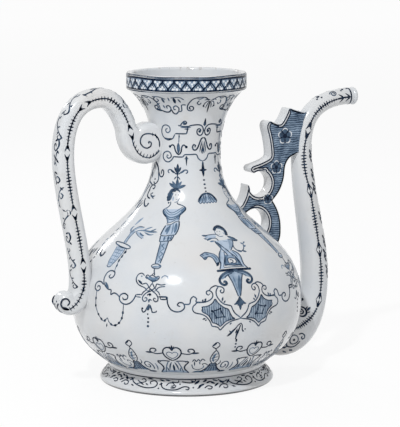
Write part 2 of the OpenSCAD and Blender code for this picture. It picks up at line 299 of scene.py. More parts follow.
@dataclass(frozen=True)
class PotProfile:
    """Outline of the thrown body, in millimetres and degrees."""

    foot_r: float = 73.5
    foot_h: float = 13.5
    foot_edge: float = 2.5
    foot_turn: float = 41.9
    recess_r: float = 55.0
    groove_r: float = 64.5
    bead_r: float = 67.5
    bead_z: float = 17.0
    bead_low: Pair = (66.9, 14.6)
    bowl_lead: Pair = (14.0, 11.0)
    bowl_pull: float = 31.0
    belly_r: float = 97.0
    belly_z: float = 69.0
    belly_pull: float = 59.5
    shoulder_pull: float = 62.0
    neck_r: float = 28.5
    neck_z: float = 191.0
    neck_pull: float = 28.0
    flare_lead: Pair = (12.6, 7.3)
    rim_r: float = 50.0
    rim_round: float = 1.8
    collar_z: float = 246.5
    pot_h: float = 260.0
    wall: float = 5.0
    floor_z: float = 20.0
    seam_t: float = 0.15

    @property
    def bowl(self) -> Bezier:
        """Outer curve from the bead to the girth."""
        above = (self.bead_r + self.bowl_lead[0], self.bead_z + self.bowl_lead[1])
        below = (self.belly_r, self.belly_z - self.bowl_pull)
        return Bezier((self.bead_r, self.bead_z), above, below, (self.belly_r, self.belly_z))

    @property
    def shoulder(self) -> Bezier:
        """Outer curve from the neck down to the girth."""
        above = (self.neck_r, self.neck_z - self.shoulder_pull)
        below = (self.belly_r, self.belly_z + self.belly_pull)
        return Bezier((self.neck_r, self.neck_z), above, below, (self.belly_r, self.belly_z))

    @property
    def flare(self) -> Bezier:
        """Outer curve from the narrowest neck to the collar."""
        above = (self.neck_r, self.neck_z + self.neck_pull)
        below = (self.rim_r - self.flare_lead[0], self.collar_z - self.flare_lead[1])
        return Bezier((self.neck_r, self.neck_z), above, below, (self.rim_r, self.collar_z))

    @property
    def rim_eye(self) -> Pair:
        """Middle of the rim's rounding."""
        return (self.rim_r - self.rim_round, self.pot_h - self.rim_round)

    @property
    def foot_eye(self) -> Pair:
        """Middle of the rounded edge of the foot."""
        return (self.foot_r - self.foot_edge, self.foot_edge)

    def slope(self) -> list[Pair]:
        """Painted face of the foot, from its rounded edge up to the groove."""
        return [polar(self.foot_eye, self.foot_edge, self.foot_turn), (self.groove_r, self.foot_h)]

    def skin(self) -> list[Pair]:
        """Whole outer line from the foot's painted face to the rim.

        Returns:
            Radius and height of each point.
        """
        line = [*self.slope(), self.bead_low]
        line += [tuple(p) for p in self.bowl.walk(60)]
        line += [tuple(p) for p in self.shoulder.walk(90, 1.0, 0.0)][1:]
        line += [tuple(p) for p in self.flare.walk(50)][1:]
        return line + [polar(self.rim_eye, self.rim_round, 15 * i) for i in range(6)]

    def radius(self, z: float) -> float:
        """Radius of the outer surface at a height.

        Args:
            z: Height in millimetres.

        Returns:
            The radius there, or at the nearer end of the outline.
        """
        line = SKIN
        for (r0, z0), (r1, z1) in zip(line, line[1:]):
            if z0 <= z <= z1:
                return mix(r0, r1, (z - z0) / (z1 - z0)) if z1 > z0 else r1
        return line[0][0] if z < line[0][1] else line[-1][0]


POT = PotProfile()
SKIN = POT.skin()


def inner_line(curve: Bezier, steps: int, start: float, stop: float) -> list[Pair]:
    """Inner surface, one wall behind an outer curve.

    Args:
        curve: Outer curve.
        steps: Parts of the line.
        start: Share of the curve at which the line starts.
        stop: Share of the curve at which it ends.

    Returns:
        Radius and height of each point.
    """
    line = []
    for i in range(steps + 1):
        t = start + (stop - start) * i / steps
        point, run = curve.at(t), curve.heading(t)
        line.append((point.x - POT.wall * min(1.4, 1.0 / max(abs(run.y), 0.01)), point.y))
    return line


def near_ends(steps: int, start: float, stop: float) -> list[float]:
    """Shares that crowd towards both ends, so that joined skins shade as one.

    Args:
        steps: Even parts between the ends.
        start: Share at which they start.
        stop: Share at which they end.

    Returns:
        The shares in order.
    """
    shares = [i / steps for i in range(steps + 1)]
    close = [0.004, 0.012]
    full = sorted(set(shares + close + [1.0 - c for c in close]))
    return [start + (stop - start) * s for s in full]


class Finish(Enum):
    """Names of the record's material slots."""

    GLAZE = "white_glaze"
    COBALT = "cobalt_blue"


class Maker:
    """Parents finished pieces to the pot's root and hides the nodes they replace."""

    @staticmethod
    def keep(piece: Object, finish: Finish, material: Material, *stands_for: str) -> Object:
        """Ride a piece on the pot, dress it and log it.

        Args:
            piece: Finished object.
            finish: Slot of the record; not used.
            material: Material of the whole piece.
            stands_for: CAD nodes that the piece replaces.

        Returns:
            The same object.
        """
        piece.data.materials.append(material)
        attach(piece, "root")
        if stands_for:
            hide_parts(*stands_for)
        LOG.info("%s: %d faces", piece.name, len(piece.data.polygons))
        return piece

    @classmethod
    def skin(cls, piece: Object, glaze: Material) -> Object:
        """Keep a white skin in the place of the node that it is named after."""
        return cls.keep(piece, Finish.GLAZE, glaze, piece.name.removesuffix("_skin"))


class NodeBoard:
    """Thin helper for laying out shader nodes."""

    def __init__(self, tree: bpy.types.NodeTree) -> None:
        """Start on an empty tree."""
        self.tree = tree
        tree.nodes.clear()

    def add(self, kind: str, inputs: dict[str, object] | None = None, **values: object) -> bpy.types.Node:
        """Add a node and set its sockets and its own values.

        Args:
            kind: Type of the node.
            inputs: Values of its sockets, by name.
            values: The node's own settings.

        Returns:
            The new node.
        """
        node = self.tree.nodes.new(kind)
        for key, value in values.items():
            setattr(node, key, value)
        for key, value in (inputs or {}).items():
            node.inputs[key].default_value = value
        return node

    def link(self, out: Socket, into: Socket) -> None:
        """Join two sockets."""
        self.tree.links.new(out, into)

    def noise(self, vector: Socket, scale: float, detail: float = 3.0, rough: float = 0.5) -> Socket:
        """Noise value over a vector.

        Args:
            vector: Place at which the noise is read.
            scale: Fineness of the noise.
            detail: Finer layers that are added.
            rough: Weight of the finer layers.

        Returns:
            A value about 0.5.
        """
        node = self.add("ShaderNodeTexNoise", {"Scale": scale, "Detail": detail, "Roughness": rough})
        self.link(vector, node.inputs["Vector"])
        return node.outputs["Fac"]

    def remap(
        self, value: Socket, low: float, high: float, to_low: float = 0.0, to_high: float = 1.0
    ) -> Socket:
        """Clamped linear change of range.

        Args:
            value: Value to change.
            low: Value that becomes to_low.
            high: Value that becomes to_high.
            to_low: Result at the low end.
            to_high: Result at the high end.

        Returns:
            The changed value.
        """
        ends = {"From Min": low, "From Max": high, "To Min": to_low, "To Max": to_high}
        node = self.add("ShaderNodeMapRange", ends, clamp=True)
        self.link(value, node.inputs["Value"])
        return node.outputs["Result"]

    def math(self, operation: str, a: Socket, b: Socket | float) -> Socket:
        """One sum of two values.

        Args:
            operation: Name of the sum.
            a: First value.
            b: Second value, a socket or a number.

        Returns:
            The result.
        """
        node = self.add("ShaderNodeMath", operation=operation)
        self.link(a, node.inputs[0])
        self.feed(node.inputs[1], b)
        return node.outputs[0]

    def blend(self, factor: Socket, a: Socket | Colour, b: Socket | Colour) -> Socket:
        """Mix of two colours.

        Args:
            factor: Share of the second colour.
            a: First colour, a socket or a plain one.
            b: Second colour, a socket or a plain one.

        Returns:
            The mixed colour.
        """
        node = self.add("ShaderNodeMix", data_type="RGBA")
        self.link(factor, node.inputs[0])
        for place, colour in ((6, a), (7, b)):
            self.feed(node.inputs[place], colour if isinstance(colour, Socket) else (*colour, 1.0))
        return node.outputs[2]

    def feed(self, into: Socket, value: object) -> None:
        """Link a socket or set a plain value.

        Args:
            into: Socket that takes the value.
            value: Socket or plain value.
        """
        if isinstance(value, Socket):
            self.link(value, into)
        else:
            into.default_value = value


class SharedEffects:
    """Node groups that several finishes use; the worn rim and the painted shadow at the foot's lower edge lie
    between heights in metres.
    """

    RIM_WEAR = (0.2568, 0.2592)
    # Heights, in metres, of the painted contact shadow at the foot's lower edge.
    FOOT_PAINTED_SHADOW = (0.0014, 0.0024)

    def __init__(self) -> None:
        """Build both groups once."""
        self.cloud = self.make_cloud()
        self.surface = self.make_surface()

    def make_cloud(self) -> bpy.types.NodeTree:
        """Uneven tint, kiln specks, stains and rim wear of a glaze over a base colour, with a painted shadow
        at the foot's lower edge.

        Returns:
            Group with the glaze's colours in and Color out.
        """
        tree = bpy.data.node_groups.new("glaze_cloud", "ShaderNodeTree")
        # The Bare socket takes the colour of the painted contact shadow at the foot's lower edge.
        for name in ("Base", "Tint", "Warm", "Speck", "Worn", "Stain", "Bare"):
            tree.interface.new_socket(name, in_out="INPUT", socket_type="NodeSocketColor")
        tree.interface.new_socket("Color", in_out="OUTPUT", socket_type="NodeSocketColor")
        board = NodeBoard(tree)
        given = board.add("NodeGroupInput")
        made = board.add("NodeGroupOutput")
        place = board.add("ShaderNodeTexCoord").outputs["Object"]
        cool = board.remap(board.noise(place, 26.0, 3.0), 0.42, 0.70, 0.0, 0.85)
        warm = board.remap(board.noise(place, 17.0, 2.0, 0.4), 0.55, 0.78, 0.0, 0.8)
        grain = board.remap(board.noise(place, 420.0, 2.0), 0.70, 0.80, 0.0, 0.5)
        colour = board.blend(cool, given.outputs["Base"], given.outputs["Tint"])
        colour = board.blend(warm, colour, given.outputs["Warm"])
        colour = board.blend(grain, colour, given.outputs["Speck"])
        height = board.add("ShaderNodeSeparateXYZ")
        board.link(place, height.inputs[0])
        rim = board.remap(height.outputs["Z"], *self.RIM_WEAR)
        chips = board.remap(board.noise(place, 170.0, 4.0, 0.65), 0.56, 0.64, 0.0, 0.75)
        colour = board.blend(board.math("MULTIPLY", rim, chips), colour, given.outputs["Worn"])
        stain = board.remap(board.noise(place, 42.0, 5.0, 0.6), 0.60, 0.74, 0.0, 0.38)
        colour = board.blend(stain, colour, given.outputs["Stain"])
        # Painted contact shadow: near the floor the glaze turns to the near-black Bare colour.
        foot = board.remap(height.outputs["Z"], *self.FOOT_PAINTED_SHADOW, 0.95, 0.0)
        colour = board.blend(foot, colour, given.outputs["Bare"])
        board.link(colour, made.inputs["Color"])
        return tree

    @staticmethod
    def make_surface() -> bpy.types.NodeTree:
        """Hand-thrown unevenness and pinholes of a glazed surface.

        Returns:
            Group with Roughness and Height out.
        """
        tree = bpy.data.node_groups.new("glaze_surface", "ShaderNodeTree")
        for name in ("Roughness", "Height"):
            tree.interface.new_socket(name, in_out="OUTPUT", socket_type="NodeSocketFloat")
        board = NodeBoard(tree)
        made = board.add("NodeGroupOutput")
        place = board.add("ShaderNodeTexCoord").outputs["Object"]
        wave = board.noise(place, 55.0, 2.0, 0.4)
        skin = board.noise(place, 260.0, 2.0, 0.5)
        pits = board.remap(board.noise(place, 700.0, 1.0), 0.22, 0.32, -1.0, 0.0)
        height = board.math("ADD", wave, board.math("MULTIPLY", skin, 0.14))
        height = board.math("ADD", height, board.math("MULTIPLY", pits, 0.05))
        board.link(height, made.inputs["Height"])
        board.link(board.remap(board.noise(place, 90.0), 0.3, 0.7, 0.12, 0.20), made.inputs["Roughness"])
        return tree


@dataclass(frozen=True, kw_only=True)
class FiredFinish:
    """A fired surface, to which each kind of finish gives its colour."""

    name: str
    bump: float = 0.075
    coat: float = 0.35
    gloss: float = 0.5

    def shader(self, effects: SharedEffects) -> tuple[Material, NodeBoard, bpy.types.Node]:
        """Lay out the shader with its surface and leave the colour to the caller.

        Args:
            effects: Shared node groups.

        Returns:
            The material, its board and its shader node.
        """
        material = bpy.data.materials.new(self.name)
        material.use_nodes = True
        board = NodeBoard(material.node_tree)
        out = board.add("ShaderNodeOutputMaterial")
        shader = board.add("ShaderNodeBsdfPrincipled", {
            "IOR": 1.5, "Specular IOR Level": self.gloss, "Coat Weight": self.coat, "Coat Roughness": 0.10,
        })
        surface = board.add("ShaderNodeGroup", node_tree=effects.surface)
        bump = board.add("ShaderNodeBump", {"Strength": self.bump, "Distance": 0.0012})
        board.link(surface.outputs["Height"], bump.inputs["Height"])
        board.link(bump.outputs["Normal"], shader.inputs["Normal"])
        board.link(surface.outputs["Roughness"], shader.inputs["Roughness"])
        board.link(shader.outputs["BSDF"], out.inputs["Surface"])
        return material, board, shader


@dataclass(frozen=True, kw_only=True)
class GlazeFinish(FiredFinish):
    """White tin glaze with its clouds, stains and wear, and a painted shadow at the foot's lower edge."""

    base: Colour
    tint: Colour
    warm: Colour
    speck: Colour
    worn: Colour = (0.36, 0.33, 0.30)
    stain: Colour = (0.54, 0.53, 0.50)
    # Near-black colour of the painted contact shadow at the foot's lower edge.
    bare: Colour = (0.03, 0.03, 0.033)

    def plain(self, effects: SharedEffects) -> Material:
        """Material of the bare glaze.

        Args:
            effects: Shared node groups.

        Returns:
            The material.
        """
        material, board, shader = self.shader(effects)
        cloud = board.add("ShaderNodeGroup", node_tree=effects.cloud)
        # The bare key carries the colour of the painted shadow at the foot.
        for key in ("base", "tint", "warm", "speck", "worn", "stain", "bare"):
            cloud.inputs[key.title()].default_value = (*getattr(self, key), 1.0)
        board.link(cloud.outputs["Color"], shader.inputs["Base Color"])
        return material


@dataclass(frozen=True, kw_only=True)
class CobaltFinish(FiredFinish):
    """Cobalt under the glaze: thin washes are pale and loaded strokes are dark."""

    pale: Colour = (0.45, 0.54, 0.66)
    middle: Colour = (0.128, 0.205, 0.31)
    dark: Colour = (0.003, 0.012, 0.034)
    coat: float = 0.0
    gloss: float = 0.12
    bands: str = "Z"

    def toned(self, board: NodeBoard, tone: Socket, full: float) -> Socket:
        """Colour of a tone, which is darkest where the tone is full."""
        first = board.blend(board.remap(tone, 0.0, 0.5), self.pale, self.middle)
        return board.blend(board.remap(tone, 0.5, full), first, self.dark)

    def brushed(self, effects: SharedEffects) -> Material:
        """Material of the brush strokes, toned by the attribute tone of their mesh.

        Args:
            effects: Shared node groups.

        Returns:
            The material.
        """
        material, board, shader = self.shader(effects)
        tone = board.add("ShaderNodeAttribute", attribute_name="tone").outputs["Fac"]
        place = board.add("ShaderNodeTexCoord").outputs["Object"]
        pool = board.remap(board.noise(place, 190.0, 3.0), 0.25, 0.75, -0.20, 0.12)
        board.link(self.toned(board, board.math("ADD", tone, pool), 0.94), shader.inputs["Base Color"])
        return material

    def hatched(self, effects: SharedEffects) -> Material:
        """Material of a blue ground with fine wavy hatching.

        Args:
            effects: Shared node groups.

        Returns:
            The material.
        """
        material, board, shader = self.shader(effects)
        place = board.add("ShaderNodeTexCoord").outputs["Object"]
        waves = {"Scale": 172.0, "Distortion": 5.5, "Detail": 4.0, "Detail Scale": 0.9}
        lines = board.add("ShaderNodeTexWave", waves, wave_type="BANDS", bands_direction=self.bands)
        board.link(place, lines.inputs["Vector"])
        uneven = board.remap(board.noise(place, 330.0, 2.0), 0.3, 0.7, -0.28, 0.28)
        streak = board.remap(board.math("ADD", lines.outputs["Fac"], uneven), 0.2, 0.85, 0.0, 0.75)
        cloud = board.remap(board.noise(place, 130.0, 3.0), 0.3, 0.7, -0.05, 0.5)
        board.link(self.toned(board, board.math("ADD", streak, cloud), 1.2), shader.inputs["Base Color"])
        return material


@dataclass
class Palette:
    """All finishes of the pot."""

    effects: SharedEffects = field(default_factory=SharedEffects)

    def __post_init__(self) -> None:
        """Make the materials once."""
        white = GlazeFinish(
            name="tin_glaze", base=(0.69, 0.705, 0.72), tint=(0.625, 0.66, 0.70),
            warm=(0.68, 0.665, 0.655), speck=(0.50, 0.49, 0.49),
        )
        dab = GlazeFinish(
            name="tin_white_dab", base=(0.72, 0.75, 0.78), tint=(0.66, 0.71, 0.77),
            warm=(0.70, 0.70, 0.71), speck=(0.6, 0.6, 0.62),
        )
        ground = CobaltFinish(
            name="cobalt_hatch", pale=(0.30, 0.39, 0.50), middle=(0.125, 0.185, 0.27),
            dark=(0.008, 0.022, 0.05),
        )
        panel = CobaltFinish(
            name="cobalt_panel", pale=(0.42, 0.50, 0.59), middle=(0.23, 0.30, 0.39), dark=(0.05, 0.08, 0.13),
            bands="X",
        )
        self.glaze = white.plain(self.effects)
        self.dab = dab.plain(self.effects)
        self.brush = CobaltFinish(name="cobalt_brush").brushed(self.effects)
        self.hatch = ground.hatched(self.effects)
        self.panel = panel.hatched(self.effects)


@dataclass
class ThrownBody:
    """Foot, bowl, shoulder, neck and collar, all turned on the wheel."""

    profile: PotProfile
    palette: Palette
    hole_d: float = 4.5
    hole_ring: float = 7.2
    hole_at: Pair = (84.0, 33.0)
    hole_depth: float = 40.0
    collar_wall: float = 5.0

    def build(self) -> None:
        """Turn and dress all five sections."""
        for node, outline in (
            ("foot_ring", self.foot()), ("lower_bowl", self.bowl()), ("shoulder", self.shoulder()),
            ("neck", self.neck()), ("mouth_collar", self.collar()),
        ):
            piece = Bench.turned(node + "_skin", outline)
            if node == "lower_bowl":
                self.pierce(piece)
            Maker.skin(piece, self.palette.glaze)

    def foot(self) -> list[Pair]:
        """Outline of the foot ring.

        Returns:
            Radius and height of each point.
        """
        p = self.profile
        edge = [polar(p.foot_eye, p.foot_edge, -90 + (90 + p.foot_turn) * i / 14) for i in range(15)]
        face = [part_way(*p.slope(), t) for t in (0.06, 0.35, 0.65, 0.94, 1.0)]
        inside = [(p.recess_r, p.foot_h), (p.recess_r, 1.0), (p.recess_r + 1.0, 0.0)]
        return [*inside[1:], (63.0, 0.0), *edge, *face, (60.0, p.foot_h), *inside[:2]]

    def bowl(self) -> list[Pair]:
        """Outline of the lower bowl with its bead and floor.

        Returns:
            Radius and height of each point.
        """
        p = self.profile
        bead = [(p.groove_r, p.foot_h), (66.0, 13.7), p.bead_low, (67.25, 15.7)]
        outer = [tuple(p.bowl.at(t)) for t in near_ends(34, 0.0, 1.0)]
        inner = [q for q in inner_line(p.bowl, 24, 1.0, 0.0) if q[1] > p.floor_z + 3.0]
        floor = [(p.bead_r - 3.5, p.floor_z + 1.2), (p.bead_r - 6.5, p.floor_z), (0.0, p.floor_z)]
        return [(0.0, p.foot_h), (40.0, p.foot_h), *bead, *outer, *inner, *floor]

    def shoulder(self) -> list[Pair]:
        """Outline of the shoulder.

        Returns:
            Radius and height of each point.
        """
        p = self.profile
        outer = [tuple(p.shoulder.at(t)) for t in near_ends(44, 1.0, p.seam_t)]
        inner = inner_line(p.shoulder, 26, p.seam_t, 1.0)
        return [*outer, *inner, outer[0]]

    def neck(self) -> list[Pair]:
        """Outline of the neck and its flare.

        Returns:
            Radius and height of each point.
        """
        p = self.profile
        low = [tuple(p.shoulder.at(t)) for t in near_ends(16, p.seam_t, 0.0)]
        high = [tuple(p.flare.at(t)) for t in near_ends(36, 0.0, 1.0)][1:]
        inner = inner_line(p.flare, 24, 1.0, 0.0) + inner_line(p.shoulder, 12, 0.0, p.seam_t)[1:]
        return [*low, *high, *inner, low[0]]

    def collar(self) -> list[Pair]:
        """Outline of the collar with its rounded rim.

        Returns:
            Radius and height of each point.
        """
        p = self.profile
        r, top, low = p.rim_r, p.pot_h - p.rim_round, p.collar_z
        outer = [(r, low), (r, low + 0.5), (r, low + 5.0), (r, low + 9.0), (r, top)]
        lip = [polar(p.rim_eye, p.rim_round, 15 * i) for i in range(1, 7)]
        mid, inner = r - self.collar_wall / 2, r - self.collar_wall
        back = [(2 * mid - x, z) for x, z in reversed(lip)]
        return [*outer, *lip, (mid, p.pot_h), *back, (inner, top), (inner, low), outer[0]]

    def pierce(self, bowl: Object) -> None:
        """Bore the pouring holes behind the spout.

        Args:
            bowl: Skin of the lower bowl.
        """
        x, z = self.hole_at
        spots = [(0.0, 0.0)] + [polar((0.0, 0.0), self.hole_ring, 60 * i) for i in range(6)]
        pegs = [
            Bench.peg(self.hole_d / 2, self.hole_depth, Vector((x, aside, z + up)), (0, math.pi / 2, 0))
            for up, aside in spots
        ]
        Bench.cut(bowl, pegs)
        Bench.take(bowl)
        bpy.ops.object.shade_smooth_by_angle(angle=Bench.SMOOTH)


def seated(p: Vector, sink: float = 1.6) -> Vector:
    """Hold a point at the pot's wall, a little under its surface.

    Args:
        p: Point in millimetres.
        sink: Depth under the surface at which a luted piece may end.

    Returns:
        The same point, or the nearest one along X outside the wall.
    """
    r = POT.radius(p.z) - sink
    if math.hypot(p.x, p.y) >= r:
        return p
    return Vector((math.copysign(math.sqrt(r * r - p.y * p.y), p.x), p.y, p.z))


@dataclass(frozen=True)
class Curl:
    """One curled end of the handle, in the handle's plane.

    Attributes:
        eye: Middle of the curl.
        join: End of the strap's centre line.
        lead: Direction in which the strap comes in.
        turn: 1 for a curl that runs anticlockwise from the front, -1 for the other way.
        radii: Radius where the curl starts and where it ends.
        fade: How fast the strap's edge fades into the curl.
    """

    eye: Pair
    join: Pair
    lead: Pair
    turn: int
    radii: Pair
    fade: float

    def outline(self, width: float, inset: float = 0.0, steps: int = 96) -> list[Pair]:
        """Outline of the curl.

        Args:
            width: Width of the strap.
            inset: Depth under the outer edge.
            steps: Parts of the outline.

        Returns:
            Points from the strap's outer edge round to its inner edge.
        """
        (x, z), join, half = self.eye, self.join, width / 2 - inset
        out = (self.turn * self.lead[1] * half, -self.turn * self.lead[0] * half)
        first = Vector((join[0] + out[0] - x, join[1] + out[1] - z))
        last = Vector((join[0] - out[0] - x, join[1] - out[1] - z))
        a0, a1 = math.atan2(first.y, first.x), math.atan2(last.y, last.x)
        sweep = math.tau - (self.turn * (a0 - a1)) % math.tau
        begin, end = self.radii[0] - inset, self.radii[1] - inset
        line = []
        for i in range(steps + 1):
            s = 1.0 - i / steps
            r = mix(end, begin, s) + (first.length - begin) * s ** self.fade
            a = a0 + self.turn * sweep * (1.0 - s)
            line.append((x + r * math.cos(a), z + r * math.sin(a)))
        return line + [(x + last.x, z + last.y)]

    def before(self, length: float) -> Pair:
        """Place on the incoming strap, some way before it joins the curl."""
        return (self.join[0] - length * self.lead[0], self.join[1] - length * self.lead[1])


@dataclass
class ScrollHandle:
    """Arched strap of rounded-square section with a curl at each end."""

    palette: Palette
    width: float = 16.0
    thick: float = 16.5
    corner: float = 4.9
    corner_steps: int = 6
    curl_edge: float = 1.6
    upper: Curl = Curl((-38.9, 205.0), (-56.7, 215.7), (0.28, -0.96), 1, (22.0, 14.0), 12.0)
    lower: Curl = Curl((-112.0, 76.5), (-100.0, 83.5), (-0.15, -0.99), -1, (12.0, 7.5), 5.0)
    top: Pair = (-80.5, 242.0)
    side: Pair = (-113.5, 196.0)
    arch_pulls: Pair = (12.0, 12.0)
    bend_pulls: Pair = (21.0, 30.0)
    grip_pulls: Pair = (36.0, 30.0)

    @property
    def arch(self) -> Bezier:
        """Centre line from the upper curl to the top."""
        first, last = self.arch_pulls
        return Bezier(self.upper.join, self.upper.before(first), (self.top[0] + last, self.top[1]), self.top)

    @property
    def bend(self) -> Bezier:
        """Centre line round the outer bend."""
        first, last = self.bend_pulls
        leave, reach = (self.top[0] - first, self.top[1]), (self.side[0], self.side[1] + last)
        return Bezier(self.top, leave, reach, self.side)

    @property
    def grip(self) -> Bezier:
        """Centre line down to the lower curl."""
        first, last = self.grip_pulls
        leave = (self.side[0], self.side[1] - first)
        return Bezier(self.side, leave, self.lower.before(last), self.lower.join)

    def inset(self, y: float) -> float:
        """How far the rounded edge steps in at a breadth."""
        over = max(0.0, abs(y) - (self.thick / 2 - self.corner))
        return self.corner - math.sqrt(max(0.0, self.corner ** 2 - over * over))

    def layers(self) -> list[float]:
        """Breadths at which the section has points.

        Returns:
            Breadths from the front to the back.
        """
        half, n = self.thick / 2, self.corner_steps
        edge = [self.corner * (1 - math.cos(math.pi / 2 * i / n)) - half for i in range(n + 1)]
        flat = half - self.corner
        return edge + [-flat * 0.6, 0.0, flat * 0.6] + [-y for y in reversed(edge)]

    def section(self) -> list[Pair]:
        """Offsets across the path and breadths, once round the strap.

        Returns:
            Offset and breadth of each point.
        """
        half = self.width / 2
        up = [(half - self.inset(y), y) for y in self.layers()]
        down = [(-n, y) for n, y in reversed(up)]
        brow = half - self.corner
        front = [(brow * s, self.thick / 2) for s in (0.55, 0.0, -0.55)]
        back = [(-n, -self.thick / 2) for n, _ in front]
        return up + front + down + back

    def build(self) -> None:
        """Loft the strap and both curls, and dress them."""
        for node, rings in (
            ("handle_grip", self.strap_rings()), ("handle_upper_scroll", self.curl_rings(self.upper)),
            ("handle_lower_scroll", self.curl_rings(self.lower)),
        ):
            Maker.skin(Bench.lofted(node + "_skin", rings, True), self.palette.glaze)

    def strap_rings(self) -> list[Ring]:
        """Rings of the strap from the upper to the lower curl.

        Returns:
            Rings of points, in millimetres.
        """
        rings = []
        for curve, steps in ((self.arch, 22), (self.bend, 30), (self.grip, 40)):
            shares = near_ends(steps, 0.0, 1.0)
            for t in shares if not rings else shares[1:]:
                p, d = curve.at(t), curve.heading(t)
                rings.append([
                    seated(Vector((p.x - d.y * n, y, p.y + d.x * n))) for n, y in self.section()
                ])
        return rings

    def curl_rings(self, curl: Curl) -> list[Ring]:
        """Rings of a curl, breadth by breadth from the front to the back.

        Args:
            curl: One of the two curls.

        Returns:
            Rings of points, in millimetres.
        """
        half, deep = self.thick / 2, self.corner + self.curl_edge
        steps = [(-half, deep), *((y, self.inset(y)) for y in self.layers()), (half, deep)]
        return [[seated(Vector((x, y, z))) for x, z in curl.outline(self.width, inset)] for y, inset in steps]


@dataclass
class SwanSpout:
    """Swelling root, rising tube, curled tip and beaded lip, bored through."""

    palette: Palette
    root_z: float = 33.0
    root_half: Pair = (21.0, 15.0)
    root_seat: float = 0.87
    elbow_top: Pair = (126.0, 76.0)
    elbow_r: float = 12.0
    waist: Pair = (112.0, 188.0)
    waist_r: float = 8.9
    tip: Pair = (161.0, 232.5)
    tip_r: float = 7.0
    lip_r: float = 7.7
    lip_l: float = 4.5
    root_wall: float = 4.5
    tip_wall: float = 2.6
    root_lead: Pair = (19.0, -12.0)
    elbow_pulls: Pair = (36.0, 34.0)
    waist_pulls: Pair = (33.0, 28.0)
    tip_pull: float = 37.0
    seat_sink: float = 1.4
    points: int = 44

    @property
    def root(self) -> Bezier:
        """Centre line from the bowl to the top of the elbow."""
        x = POT.radius(self.root_z)
        return Bezier(
            (x, self.root_z), (x + self.root_lead[0], self.root_z + self.root_lead[1]),
            (self.elbow_top[0], self.elbow_top[1] - self.elbow_pulls[0]), self.elbow_top,
        )

    @property
    def rise(self) -> Bezier:
        """Centre line up to the waist."""
        return Bezier(
            self.elbow_top, (self.elbow_top[0], self.elbow_top[1] + self.elbow_pulls[1]),
            (self.waist[0], self.waist[1] - self.waist_pulls[0]), self.waist,
        )

    @property
    def curl(self) -> Bezier:
        """Centre line over to the tip."""
        return Bezier(
            self.waist, (self.waist[0], self.waist[1] + self.waist_pulls[1]),
            (self.tip[0] - self.tip_pull, self.tip[1]), self.tip,
        )

    def root_size(self, t: float) -> Pair:
        """Half height and half width of the elbow."""
        return (mix(self.root_half[0], self.elbow_r, ease(t)), mix(self.root_half[1], self.elbow_r, ease(t)))

    def rise_size(self, t: float) -> Pair:
        """Half sizes of the rising tube."""
        r = mix(self.elbow_r, self.waist_r, t * t * (2.0 - t))
        return (r, r)

    def curl_size(self, t: float) -> Pair:
        """Half sizes of the curled tip."""
        r = mix(self.waist_r, self.tip_r, t)
        return (r, r)

    def angles(self) -> list[float]:
        """Places of the ring's points."""
        return [math.tau * j / self.points for j in range(self.points)]

    def ring(self, curve: Bezier, t: float, size: Pair, less: float) -> Ring:
        """Ring across the centre line, less a wall.

        Args:
            curve: Centre line.
            t: Share of it.
            size: Half sizes of the section.
            less: Wall to take off.

        Returns:
            Points of the ring, in millimetres.
        """
        p, d = curve.at(t), curve.heading(t)
        made = []
        for a in self.angles():
            n = (size[0] - less) * math.cos(a)
            made.append(Vector((p.x - d.y * n, (size[1] - less) * math.sin(a), p.y + d.x * n)))
        return made

    def seat_ring(self, less: float) -> Ring:
        """Ring where the root meets the bowl.

        Args:
            less: Wall to take off.

        Returns:
            Points of the ring, in millimetres.
        """
        made = []
        for a in self.angles():
            z = self.root_z + self.root_seat * (self.root_half[0] - less) * math.cos(a)
            y = (self.root_half[1] - less) * math.sin(a)
            r = POT.radius(z) - self.seat_sink
            made.append(Vector((math.sqrt(r * r - y * y), y, z)))
        return made

    def run(
        self, curve: Bezier, size: Callable[[float], Pair], steps: int, walls: Pair, start: float = 0.0
    ) -> list[Ring]:
        """Rings along one curve.

        Args:
            curve: Centre line.
            size: Half sizes at a share of it.
            steps: Parts of the curve.
            walls: Wall taken off at its start and its end.
            start: Share of the curve at which the rings start.

        Returns:
            The rings in order.
        """
        return [
            self.ring(curve, t, size(t), mix(walls[0], walls[1], t)) for t in near_ends(steps, start, 1.0)
        ]

    def build(self) -> None:
        """Loft elbow, tube and lip, and dress them."""
        bare = (0.0, 0.0)
        mid_wall, waist_wall = (mix(self.root_wall, self.tip_wall, t) for t in (0.3, 0.7))
        elbow = [self.seat_ring(0.0)] + self.run(self.root, self.root_size, 26, bare, 0.07)
        bore = [self.seat_ring(self.root_wall)]
        bore += self.run(self.root, self.root_size, 26, (self.root_wall, mid_wall), 0.07)
        tube = self.run(self.rise, self.rise_size, 34, bare)
        tube += self.run(self.curl, self.curl_size, 34, bare)[1:]
        pipe = self.run(self.rise, self.rise_size, 34, (mid_wall, waist_wall))
        pipe += self.run(self.curl, self.curl_size, 34, (waist_wall, self.tip_wall))[1:]
        for node, rings in (
            ("spout_elbow", elbow + bore[::-1]), ("spout_tube", tube + pipe[::-1]),
            ("spout_lip", self.lip_rings()),
        ):
            Maker.skin(Bench.lofted(node + "_skin", rings, False), self.palette.glaze)

    def lip_rings(self) -> list[Ring]:
        """Rings of the beaded lip, round its section.

        Returns:
            Rings of points, in millimetres.
        """
        half, bore = self.lip_l / 2, self.tip_r - self.tip_wall
        bead = [polar((self.lip_r - half, half), half, -68 + 136 * i / 14) for i in range(15)]
        mouth = [(bore + 0.9, self.lip_l), (bore + 0.25, self.lip_l - 0.3), (bore, self.lip_l - 1.0)]
        x, z = self.tip
        return [
            [Vector((x + out, r * math.sin(a), z + r * math.cos(a))) for a in self.angles()]
            for r, out in [(bore, 0.0), (self.tip_r - 0.4, 0.0), *bead, *mouth]
        ]


